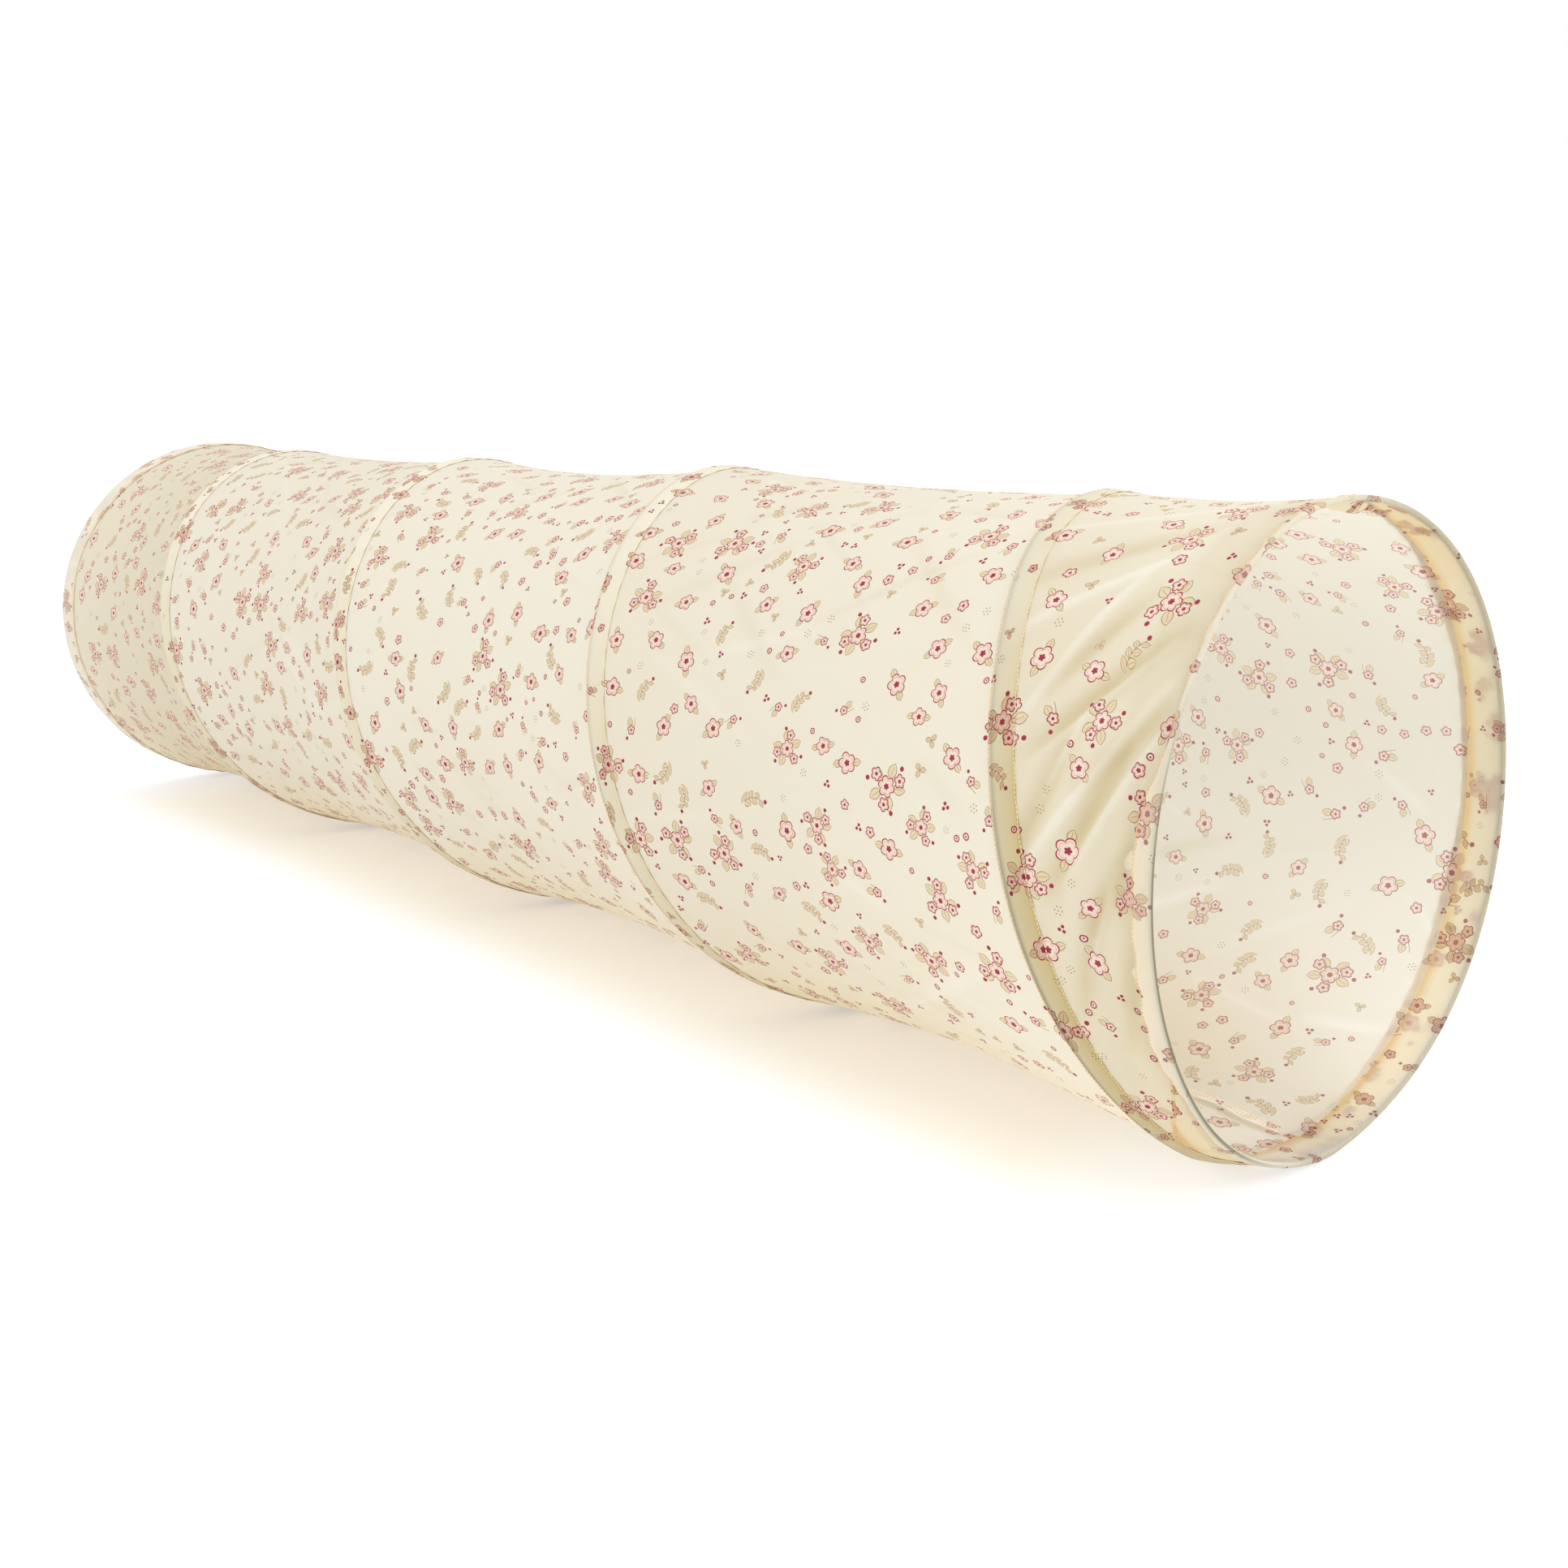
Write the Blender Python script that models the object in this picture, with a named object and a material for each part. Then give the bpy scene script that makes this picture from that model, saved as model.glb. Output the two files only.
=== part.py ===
"""A child's crawl tunnel: a tube of thin cloth that a sprung steel wire holds open.

Metres, +Z up. The tube lies along X, with the near mouth at +X and the far mouth at -X,
and rests on the plane Z = 0. The origin is below the middle of the tube.

The wire runs round the tube four times, from the bottom of the near hoop to the bottom
of the far hoop, as a right-handed helix. Every piece is lofted through sections taken in
planes that hold the tube's axis. An angle starts at the bottom of the tube and grows
towards -Y, and the angle along the coil goes on past a full turn.
"""

import math

import bmesh
import bpy
from mathutils import Vector

# Overall sizes
OVERALL_LENGTH = 1.800
OUTER_DIAMETER = 0.480
TURN_COUNT = 4
SIDE_COUNT = 48

# Cloth and the clearance between pieces that touch
CLOTH_THICKNESS = 0.0006
FIT_GAP = 0.0003

# Wire of the hoops and of the coil
WIRE_DIAMETER = 0.003
WIRE_SIDE_COUNT = 6
COIL_TIP_REACH = 0.008

# Crimped sleeve that joins a hoop's ends and the coil
FERRULE_LENGTH = 0.022
FERRULE_WALL = 0.0004
CRIMP_GAP = 0.0002
FERRULE_ARC_STEPS = 6

# Folded hem at each mouth
HEM_WIDTH = 0.038
HEM_CORNER = 0.0012
HEM_RAMP = 0.006
HEM_TUCK = 0.008

# Folded casing round each turn of the coil
CASING_WIDTH = 0.021
CASING_LEAST_TAIL = 0.004
CASING_SHOULDER_SHARE = 0.8

# Cloth panels between the turns
TUCK_WIDTH = 0.010
EDGE_INSET = 0.005
BAY_MARGIN = 0.001
LEAST_BAY = 0.002
WAIST_DEPTH = 0.010
PANEL_STRIPS = 4
WEDGE_STRIPS = 8

# Slack folds of the front wedge, on the side of the first quarter turns
FOLD_DEPTH = 0.006
FOLD_COUNT = 5
FOLD_SLANT_LENGTH = 0.082
FOLD_FIRST_ANGLE = math.radians(45)
FOLD_LAST_ANGLE = math.radians(185)

# Seam along the floor side
SEAM_WIDTH = 0.012
SEAM_THICKNESS = 0.0009

# Colours as linear red, green and blue
CREAM = (0.88, 0.82, 0.66)
SAND = (0.80, 0.70, 0.45)
STEEL = (0.52, 0.54, 0.50)

# Sizes that follow from the ones above
FULL_TURN = 2 * math.pi
FACET_ANGLE = FULL_TURN / SIDE_COUNT
HALF_FACET = FACET_ANGLE / 2
OUTER_RADIUS = OUTER_DIAMETER / 2
AXIS_HEIGHT = OUTER_RADIUS * math.cos(HALF_FACET)
HALF_LENGTH = OVERALL_LENGTH / 2
HALF_CLOTH = CLOTH_THICKNESS / 2
WIRE_RADIUS = WIRE_DIAMETER / 2
WIRE_SPACING = WIRE_DIAMETER + FIT_GAP

FERRULE_BORE_RADIUS = WIRE_RADIUS + CRIMP_GAP
FERRULE_OUTER_RADIUS = FERRULE_BORE_RADIUS + FERRULE_WALL
FERRULE_WIDTH = 2 * FERRULE_OUTER_RADIUS + WIRE_SPACING

HEM_POCKET = 2 * (FERRULE_OUTER_RADIUS + FIT_GAP)
HEM_HEIGHT = HEM_POCKET + 2 * CLOTH_THICKNESS
HEM_SLIT = CLOTH_THICKNESS + 2 * FIT_GAP
HEM_POCKET_DEPTH = CLOTH_THICKNESS + FERRULE_WIDTH + 2 * FIT_GAP
HEM_EDGE_X = HALF_LENGTH - HEM_WIDTH
HEM_SLIT_RADIUS = OUTER_RADIUS - CLOTH_THICKNESS - HEM_SLIT / 2

WIRE_PATH_RADIUS = OUTER_RADIUS - CLOTH_THICKNESS - HEM_POCKET / 2
HOOP_X = HALF_LENGTH - CLOTH_THICKNESS - FIT_GAP - FERRULE_OUTER_RADIUS
COIL_END_X = HOOP_X - WIRE_SPACING
COIL_FIRST_ANGLE = HALF_FACET
COIL_LAST_ANGLE = TURN_COUNT * FULL_TURN - HALF_FACET
COIL_RISE = 2 * COIL_END_X / (COIL_LAST_ANGLE - COIL_FIRST_ANGLE)
COIL_STRETCH = math.hypot(COIL_RISE, WIRE_PATH_RADIUS) / WIRE_PATH_RADIUS
COIL_PITCH = COIL_RISE * FULL_TURN
SEAM_ANGLE = FIT_GAP / 2 / OUTER_RADIUS

CASING_POCKET = WIRE_RADIUS * COIL_STRETCH + FIT_GAP
CASING_FOLD = CASING_POCKET + CLOTH_THICKNESS
HEM_TUCK_RADIUS = OUTER_RADIUS - HEM_HEIGHT - FIT_GAP - HALF_CLOTH
CASING_TUCK_RADIUS = WIRE_PATH_RADIUS - CASING_FOLD - FIT_GAP - HALF_CLOTH


def facet_share(angle):
    """Returns how near the flat side is at an angle, as a share of a corner's distance."""
    from_middle = angle - FACET_ANGLE * round(angle / FACET_ANGLE)
    return math.cos(HALF_FACET) / math.cos(from_middle)


def place(x, radius, angle):
    """Returns the point at x along the tube, at a corner radius and an angle round it."""
    reach = radius * facet_share(angle)
    return Vector((x, -reach * math.sin(angle), AXIS_HEIGHT - reach * math.cos(angle)))


def corner_after(angle):
    """Returns the first corner of the many-sided tube at or after an angle."""
    return (math.ceil(angle / FACET_ANGLE - 0.5) + 0.5) * FACET_ANGLE


def corner_before(angle):
    """Returns the last corner of the many-sided tube at or before an angle."""
    return (math.floor(angle / FACET_ANGLE - 0.5) + 0.5) * FACET_ANGLE


def section_angles(first, last):
    """Returns the two end angles and every corner that lies between them."""
    angles = [first]
    corner = corner_after(first)
    while corner < last - HALF_FACET / SIDE_COUNT:
        if corner > first + HALF_FACET / SIDE_COUNT:
            angles.append(corner)
        corner += FACET_ANGLE
    angles.append(last)
    return angles


def coil_x(angle):
    """Returns where along the tube the coil's wire is, at an angle along the coil."""
    held = min(max(angle, COIL_FIRST_ANGLE), COIL_LAST_ANGLE)
    return COIL_END_X - COIL_RISE * (held - COIL_FIRST_ANGLE)


def coil_angle(x):
    """Returns the angle along the coil at which its wire has come to x."""
    return COIL_FIRST_ANGLE + (COIL_END_X - x) / COIL_RISE


# Where the coil's wire leaves the near hem and enters the far one. The hem stays open for
# it there, the first and last casings stop short of it, and the wedges close to nothing
OPEN_HEM_END = corner_after(coil_angle(HEM_EDGE_X))
CASING_START = corner_after(coil_angle(HEM_EDGE_X - FIT_GAP - CASING_LEAST_TAIL))
CASING_END = corner_before(coil_angle(-HEM_EDGE_X + FIT_GAP + CASING_FOLD))
FRONT_WEDGE_START = coil_angle(HEM_EDGE_X - CASING_WIDTH - 2 * BAY_MARGIN - LEAST_BAY)
REAR_WEDGE_END = coil_angle(-HEM_EDGE_X + CASING_FOLD + 2 * BAY_MARGIN + LEAST_BAY)


def make_material(name, colour, roughness, metallic):
    """Returns a plain material in one colour."""
    material = bpy.data.materials.new(name)
    material.use_nodes = True
    shader = material.node_tree.nodes["Principled BSDF"]
    shader.inputs["Base Color"].default_value = (*colour, 1)
    shader.inputs["Roughness"].default_value = roughness
    shader.inputs["Metallic"].default_value = metallic
    material.diffuse_color = (*colour, 1)
    return material


def cloth_material(name, colour):
    """Returns a matt cloth material for the piece of that name."""
    return make_material(name + "_cloth", colour, 0.9, 0)


def steel_material(name):
    """Returns a bare steel material for the piece of that name."""
    return make_material(name + "_steel", STEEL, 0.4, 1)


def loft(name, sections, closed, parent, material):
    """Makes one solid through closed sections of like point counts.

    A closed loft joins its last section to its first. An open one gets a face at each end.
    """
    build = bmesh.new()
    rings = []
    for section in sections:
        rings.append([build.verts.new(point - parent.location) for point in section])
    pairs = list(zip(rings, rings[1:]))
    if closed:
        pairs.append((rings[-1], rings[0]))
    for ring, following in pairs:
        for index in range(len(ring)):
            after = (index + 1) % len(ring)
            build.faces.new((ring[index], ring[after], following[after], following[index]))
    if not closed:
        build.faces.new(rings[0])
        build.faces.new(rings[-1])
    bmesh.ops.recalc_face_normals(build, faces=build.faces)
    mesh = bpy.data.meshes.new(name)
    build.to_mesh(mesh)
    build.free()
    mesh.shade_smooth()
    mesh.set_sharp_from_angle(angle=math.radians(40))
    mesh.materials.append(material)
    piece = bpy.data.objects.new(name, mesh)
    piece.parent = parent
    bpy.context.collection.objects.link(piece)
    return piece


def make_frame(name, x):
    """Makes an empty on the tube's axis, which is the line that the mouths slide along."""
    empty = bpy.data.objects.new(name, None)
    empty.location = (x, 0, AXIS_HEIGHT)
    empty.empty_display_size = OUTER_RADIUS
    bpy.context.collection.objects.link(empty)
    return empty


def wire_section(x, radius, angle, stretch):
    """Returns the points round a wire, in the plane at an angle round the tube."""
    points = []
    for index in range(WIRE_SIDE_COUNT):
        side = FULL_TURN * index / WIRE_SIDE_COUNT
        along = WIRE_RADIUS * stretch * math.cos(side)
        points.append(place(x + along, radius + WIRE_RADIUS * math.sin(side), angle))
    return points


def make_hoop(name, x, parent):
    """Makes a round hoop whose two ends meet at the bottom, inside the ferrule."""
    angles = section_angles(SEAM_ANGLE, FULL_TURN - SEAM_ANGLE)
    sections = [wire_section(x, WIRE_PATH_RADIUS, angle, 1) for angle in angles]
    return loft(name, sections, False, parent, steel_material(name))


def least_gap(centres, steps_per_turn):
    """Returns the least distance between the surfaces of two turns of one wire."""
    closest = math.inf
    for index, centre in enumerate(centres):
        for other in centres[index + steps_per_turn // 2:]:
            closest = min(closest, (other - centre).length)
    return closest - WIRE_DIAMETER


def make_coil(parent):
    """Makes the coil as one unbroken wire, with a straight tip in each ferrule."""
    tip_angle = math.atan(COIL_TIP_REACH / WIRE_PATH_RADIUS)
    angles = section_angles(-tip_angle, TURN_COUNT * FULL_TURN + tip_angle)
    sections = []
    centres = []
    for angle in angles:
        slanted = COIL_FIRST_ANGLE <= angle <= COIL_LAST_ANGLE
        stretch = COIL_STRETCH if slanted else 1
        sections.append(wire_section(coil_x(angle), WIRE_PATH_RADIUS, angle, stretch))
        centres.append(place(coil_x(angle), WIRE_PATH_RADIUS, angle))
    print("least gap between two turns of the coil, in metres:", least_gap(centres, SIDE_COUNT))
    return loft("spring_coil", sections, False, parent, steel_material("spring_coil"))


def oval_points(radius, y, x):
    """Returns an oval round two wires that lie side by side, in the plane at y."""
    height = place(x, WIRE_PATH_RADIUS, 0).z
    points = []
    for side in (1, -1):
        for step in range(FERRULE_ARC_STEPS + 1):
            turn = math.pi * (step / FERRULE_ARC_STEPS - 0.5)
            across = WIRE_SPACING / 2 + radius * math.cos(turn)
            points.append(Vector((x + side * across, y, height + side * radius * math.sin(turn))))
    return points


def make_ferrule(name, end, parent):
    """Makes an oval sleeve, open at both ends. End is 1 at the near mouth, or -1."""
    middle_x = end * (HOOP_X + COIL_END_X) / 2
    half = FERRULE_LENGTH / 2
    outlines = (
        oval_points(FERRULE_OUTER_RADIUS, -half, middle_x),
        oval_points(FERRULE_OUTER_RADIUS, half, middle_x),
        oval_points(FERRULE_BORE_RADIUS, half, middle_x),
        oval_points(FERRULE_BORE_RADIUS, -half, middle_x),
    )
    return loft(name, list(zip(*outlines)), True, parent, steel_material(name))


def hem_profile(is_open):
    """Returns a folded hem's section as distances in from the mouth and from the outside.

    The fold is at the mouth and holds the hoop. Behind it the inner leg comes up to grip
    the panel, or stays down where the coil's wire passes between the legs.
    """
    wall = CLOTH_THICKNESS
    inner_corner = HEM_CORNER - wall * (2 - math.sqrt(2))
    grip = HEM_HEIGHT if is_open else HEM_SLIT + 2 * wall
    ramp_end = HEM_POCKET_DEPTH + HEM_RAMP
    return [
        (HEM_WIDTH, 0),
        (HEM_CORNER, 0),
        (0, HEM_CORNER),
        (0, HEM_HEIGHT - HEM_CORNER),
        (HEM_CORNER, HEM_HEIGHT),
        (HEM_POCKET_DEPTH, HEM_HEIGHT),
        (ramp_end, grip),
        (HEM_WIDTH, grip),
        (HEM_WIDTH, grip - wall),
        (ramp_end, grip - wall),
        (HEM_POCKET_DEPTH, HEM_HEIGHT - wall),
        (wall + inner_corner, HEM_HEIGHT - wall),
        (wall, HEM_HEIGHT - wall - inner_corner),
        (wall, wall + inner_corner),
        (wall + inner_corner, wall),
        (HEM_WIDTH, wall),
    ]


def make_hem(name, end, parent):
    """Makes a folded hem as a ring round one mouth. End is 1 at the near mouth, or -1."""
    sections = []
    for index in range(SIDE_COUNT):
        angle = (index - 0.5) * FACET_ANGLE
        profile = hem_profile(angle < OPEN_HEM_END + HALF_FACET)
        sections.append([
            place(end * (HALF_LENGTH - inward), OUTER_RADIUS - drop, end * angle)
            for inward, drop in profile
        ])
    return loft(name, sections, True, parent, cloth_material(name, SAND))


def casing_profile(tail):
    """Returns a casing's section as distances ahead of the wire's centre and out from it."""
    pocket = CASING_POCKET
    fold = CASING_FOLD
    shoulder = CASING_SHOULDER_SHARE * pocket
    slit = HEM_SLIT / 2
    leg = slit + CLOTH_THICKNESS
    return [
        (tail, leg),
        (shoulder, fold),
        (-pocket, fold),
        (-fold, pocket),
        (-fold, -pocket),
        (-pocket, -fold),
        (shoulder, -fold),
        (tail, -leg),
        (tail, -slit),
        (shoulder, -pocket),
        (-pocket, -pocket),
        (-pocket, pocket),
        (shoulder, pocket),
        (tail, slit),
    ]


def make_casing(name, turn, parent):
    """Makes the folded casing of one turn, open at its front edge for the panel."""
    first = max(turn * FULL_TURN + SEAM_ANGLE, CASING_START)
    last = min((turn + 1) * FULL_TURN - SEAM_ANGLE, CASING_END)
    sections = []
    for angle in section_angles(first, last):
        wire_x = coil_x(angle)
        tail = min(CASING_WIDTH, HEM_EDGE_X - FIT_GAP - wire_x)
        sections.append([
            place(wire_x + ahead, WIRE_PATH_RADIUS + out, angle)
            for ahead, out in casing_profile(tail)
        ])
    return loft(name, sections, False, parent, cloth_material(name, SAND))


def front_stations(bay, angle):
    """Returns a bay's two points at its front edge, each as x and radius.

    Bay 0 starts in the near hem. Each other bay starts tucked under the turn before it.
    """
    if bay == 0:
        return [(HEM_EDGE_X + HEM_TUCK, HEM_SLIT_RADIUS), (HEM_EDGE_X - BAY_MARGIN, HEM_SLIT_RADIUS)]
    wire_x = coil_x(angle + (bay - 1) * FULL_TURN)
    under_hem = bay == 1 and angle < OPEN_HEM_END + HALF_FACET
    radius = HEM_TUCK_RADIUS if under_hem else CASING_TUCK_RADIUS
    tuck_x = min(wire_x + TUCK_WIDTH, HEM_EDGE_X + HEM_TUCK)
    clear_x = min(wire_x - CASING_FOLD, HEM_EDGE_X) - BAY_MARGIN
    return [(tuck_x, radius), (clear_x, radius)]


def rear_stations(bay, angle):
    """Returns a bay's two points at its rear edge, each as x and radius.

    The last bay ends in the far hem. Each other bay ends between the legs of a casing.
    """
    if bay == TURN_COUNT:
        return [(-HEM_EDGE_X + BAY_MARGIN, HEM_SLIT_RADIUS), (-HEM_EDGE_X - HEM_TUCK, HEM_SLIT_RADIUS)]
    wire_x = coil_x(angle + bay * FULL_TURN)
    entry_x = max(wire_x + CASING_WIDTH, -HEM_EDGE_X) + BAY_MARGIN
    edge_x = max(wire_x + EDGE_INSET, -HEM_EDGE_X - HEM_TUCK)
    return [(entry_x, WIRE_PATH_RADIUS), (edge_x, WIRE_PATH_RADIUS)]


def fold_drop(x, angle):
    """Returns how far the slack folds of the front wedge drop in at a point."""
    if not FOLD_FIRST_ANGLE < angle < FOLD_LAST_ANGLE:
        return 0
    span = FOLD_LAST_ANGLE - FOLD_FIRST_ANGLE
    share = (angle - FOLD_FIRST_ANGLE) / span
    slant = (HEM_EDGE_X - x) / FOLD_SLANT_LENGTH
    wave = 0.5 - 0.5 * math.cos(FULL_TURN * FOLD_COUNT * share + slant)
    return FOLD_DEPTH * wave * math.sin(math.pi * share)


def bay_stations(bay, angle, strips):
    """Returns the middle line of a panel's section, front to rear, as x and radius."""
    front = front_stations(bay, angle)
    rear = rear_stations(bay, angle)
    (front_x, front_radius), (rear_x, rear_radius) = front[-1], rear[0]
    width_share = (front_x - rear_x) / COIL_PITCH
    middle = []
    for step in range(1, strips):
        share = step / strips
        x = front_x + (rear_x - front_x) * share
        waist = WAIST_DEPTH * width_share * 4 * share * (1 - share)
        if bay == 0:
            waist += fold_drop(x, angle) * math.sin(math.pi * share)
        middle.append((x, front_radius + (rear_radius - front_radius) * share - waist))
    return front + middle + rear


def make_panel(name, bay, parent):
    """Makes the slanted cloth panel of one bay, with its two ends at the bottom seam."""
    first = FRONT_WEDGE_START if bay == 0 else SEAM_ANGLE
    last = FULL_TURN - SEAM_ANGLE
    if bay == TURN_COUNT:
        last = REAR_WEDGE_END - (TURN_COUNT - 1) * FULL_TURN
    strips = WEDGE_STRIPS if bay == 0 else PANEL_STRIPS
    sections = []
    for angle in section_angles(first, last):
        stations = bay_stations(bay, angle, strips)
        outside = [place(x, radius + HALF_CLOTH, angle) for x, radius in stations]
        inside = [place(x, radius - HALF_CLOTH, angle) for x, radius in reversed(stations)]
        sections.append(outside + inside)
    return loft(name, sections, False, parent, cloth_material(name, CREAM))


def seam_stations():
    """Returns the bottom seam's outer face from hem to hem, as x and radius.

    It lies under whichever comes lower of the two panel ends that meet along it.
    """
    clearance = HALF_CLOTH + FIT_GAP
    under_leg = WIRE_PATH_RADIUS - HEM_SLIT / 2 - CLOTH_THICKNESS - FIT_GAP
    stations = []
    for bay in range(1, TURN_COUNT + 1):
        start = bay_stations(bay, SEAM_ANGLE, WEDGE_STRIPS)
        finish = bay_stations(bay - 1, FULL_TURN - SEAM_ANGLE, WEDGE_STRIPS)
        if bay > 1:
            tuck_x, tuck_radius = start[0]
            stations.append((tuck_x + BAY_MARGIN, tuck_radius - clearance))
        for (x, radius), (_, other_radius) in zip(start[1:-1], finish[1:-1]):
            stations.append((x, min(radius, other_radius) - clearance))
        entry_x, entry_radius = stations.pop()
        stations.append((entry_x, min(entry_radius, under_leg)))
    return stations


def make_bottom_seam(parent):
    """Makes the seam allowance that runs along the floor side, inside the tube."""
    half = SEAM_WIDTH / 2
    sections = []
    for x, radius in seam_stations():
        low = place(x, radius, 0).z
        high = low + SEAM_THICKNESS
        sections.append([
            Vector((x, -half, low)),
            Vector((x, half, low)),
            Vector((x, half, high)),
            Vector((x, -half, high)),
        ])
    return loft("bottom_seam", sections, False, parent, cloth_material("bottom_seam", SAND))


def remove_old_objects():
    """Clears the objects that the scene starts with."""
    for old in list(bpy.data.objects):
        bpy.data.objects.remove(old, do_unlink=True)


def main():
    """Builds the tunnel, with the pieces of each mouth under that mouth's own empty."""
    remove_old_objects()
    front_end = make_frame("front_end", HOOP_X)
    rear_end = make_frame("rear_end", -HOOP_X)

    make_hoop("front_hoop", HOOP_X, front_end)
    make_ferrule("front_ferrule", 1, front_end)
    make_hem("front_hem", 1, front_end)

    make_hoop("rear_hoop", -HOOP_X, rear_end)
    make_ferrule("rear_ferrule", -1, rear_end)
    make_hem("rear_hem", -1, rear_end)

    make_coil(rear_end)
    for turn in range(TURN_COUNT):
        make_casing("coil_casing_" + str(turn + 1), turn, rear_end)
    make_panel("front_wedge_panel", 0, rear_end)
    for bay in range(1, TURN_COUNT):
        make_panel("slanted_panel_" + str(bay), bay, rear_end)
    make_panel("rear_wedge_panel", TURN_COUNT, rear_end)
    make_bottom_seam(rear_end)


main()
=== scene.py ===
"""The looks of a child's crawl tunnel: thin printed cloth on a sprung steel wire.

Metres, +Z up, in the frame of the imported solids. The tube lies along X with its near mouth
at +X. An angle starts at the bottom of the tube and grows towards -Y, and the angle along
the coil goes on past a full turn. Every cloth piece is one sheet, made from arrays of its
place along the tube, its radius and its angle, and carries two UV maps: "cloth" holds the
unrolled cloth in metres, and "print" holds each point's place in its nearest flower motif.
"""

from __future__ import annotations

import logging
import math
import random
from collections.abc import Callable
from dataclasses import dataclass, field
from enum import Enum

import bmesh
import bpy
import numpy as np
from bpy.types import ID, Material, Mesh, Node, NodeSocket, NodeTree, Object
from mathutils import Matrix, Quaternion, Vector
from mathutils.kdtree import KDTree


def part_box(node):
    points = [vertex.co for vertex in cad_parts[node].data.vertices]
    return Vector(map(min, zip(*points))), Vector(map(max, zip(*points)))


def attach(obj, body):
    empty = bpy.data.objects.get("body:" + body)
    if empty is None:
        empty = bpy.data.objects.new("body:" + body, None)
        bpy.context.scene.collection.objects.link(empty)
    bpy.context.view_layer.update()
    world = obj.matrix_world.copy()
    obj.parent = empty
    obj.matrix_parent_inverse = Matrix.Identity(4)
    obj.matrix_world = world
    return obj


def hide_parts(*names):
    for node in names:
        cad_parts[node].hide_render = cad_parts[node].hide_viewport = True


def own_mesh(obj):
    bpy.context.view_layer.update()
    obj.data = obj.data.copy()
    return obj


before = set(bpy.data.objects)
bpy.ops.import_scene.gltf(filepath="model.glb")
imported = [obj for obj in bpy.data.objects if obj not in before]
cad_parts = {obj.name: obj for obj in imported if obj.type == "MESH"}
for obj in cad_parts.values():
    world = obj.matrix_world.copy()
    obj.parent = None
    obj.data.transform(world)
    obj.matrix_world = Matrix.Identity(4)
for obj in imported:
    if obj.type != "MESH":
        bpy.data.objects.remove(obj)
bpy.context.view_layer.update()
LOG = logging.getLogger("tunnel")

FULL_TURN = 2 * math.pi
MM = 0.001
Array = np.ndarray
Colour = tuple[float, float, float]


def srgb(red: int, green: int, blue: int) -> Colour:
    """Turns a colour as seen on a screen into linear light.

    Args:
        red: Red from 0 to 255.
        green: Green from 0 to 255.
        blue: Blue from 0 to 255.

    Returns:
        The linear red, green and blue.
    """
    shares = [channel / 255 for channel in (red, green, blue)]
    return tuple(s / 12.92 if s < 0.04045 else ((s + 0.055) / 1.055) ** 2.4 for s in shares)


def swell(value: Array, low: float, high: float) -> Array:
    """Returns 0 below the low value and 1 above the high one, eased between them."""
    share = np.clip((value - low) / (high - low), 0, 1)
    return share * share * (3 - 2 * share)


def near_side(angle: Array, start: float, full: float, fading: float, end: float) -> Array:
    """Returns 1 over a range of angles in degrees, eased at both ends, and 0 elsewhere."""
    degrees = np.degrees(np.mod(angle, FULL_TURN))
    return swell(degrees, start, full) * (1 - swell(degrees, fading, end))


def hump(angle: Array, middle: float, width: float) -> Array:
    """Returns a smooth hump of height 1 at one angle round the tube, both in degrees."""
    off = np.mod(np.degrees(angle) - middle + 180, 360) - 180
    return np.exp(-((off / width) ** 2))


def link_piece(name: str, data: ID) -> Object:
    """Makes an object of a mesh, a lamp or a camera, and puts it in the scene."""
    piece = bpy.data.objects.new(name, data)
    bpy.context.scene.collection.objects.link(piece)
    return piece


class Body(Enum):
    """The two moving bodies of the tunnel."""

    FRONT = "front_end"
    REAR = "rear_end"


class Slot(Enum):
    """The record's material slots, which the pieces here are passed with but which nothing here reads.
    """

    PANEL = "panel_cloth"
    CASING = "casing_cloth"
    SEAM = "seam_cloth"
    WIRE = "spring_wire"


class Motif(Enum):
    """The kinds of motif in the print. The value is the motif's column in the UV map."""

    BLOSSOM = 0
    SMALL_BLOSSOM = 1
    POSY = 2
    BERRIES = 3
    SPECKS = 4
    SPRIG = 5
    SPRAY = 6
    SEED = 7
    TREFOIL = 8
    BARE = 9


@dataclass(frozen=True)
class MotifKind:
    """How one kind of motif is scattered over the cloth.

    Attributes:
        reach: Radius of the circle that it needs, in metres.
        per_square_metre: How many there are on a square metre.
    """

    reach: float
    per_square_metre: float


MOTIF_KINDS: dict[Motif, MotifKind] = {
    Motif.POSY: MotifKind(18.5 * MM, 105),
    Motif.BLOSSOM: MotifKind(11 * MM, 190),
    Motif.SPRIG: MotifKind(12.5 * MM, 110),
    Motif.SPRAY: MotifKind(8.5 * MM, 110),
    Motif.TREFOIL: MotifKind(4.6 * MM, 80),
    Motif.SMALL_BLOSSOM: MotifKind(4.6 * MM, 110),
    Motif.SPECKS: MotifKind(3.4 * MM, 170),
    Motif.BERRIES: MotifKind(3.2 * MM, 150),
    Motif.SEED: MotifKind(2.4 * MM, 130),
}
MOTIF_CELL = 0.07


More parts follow.
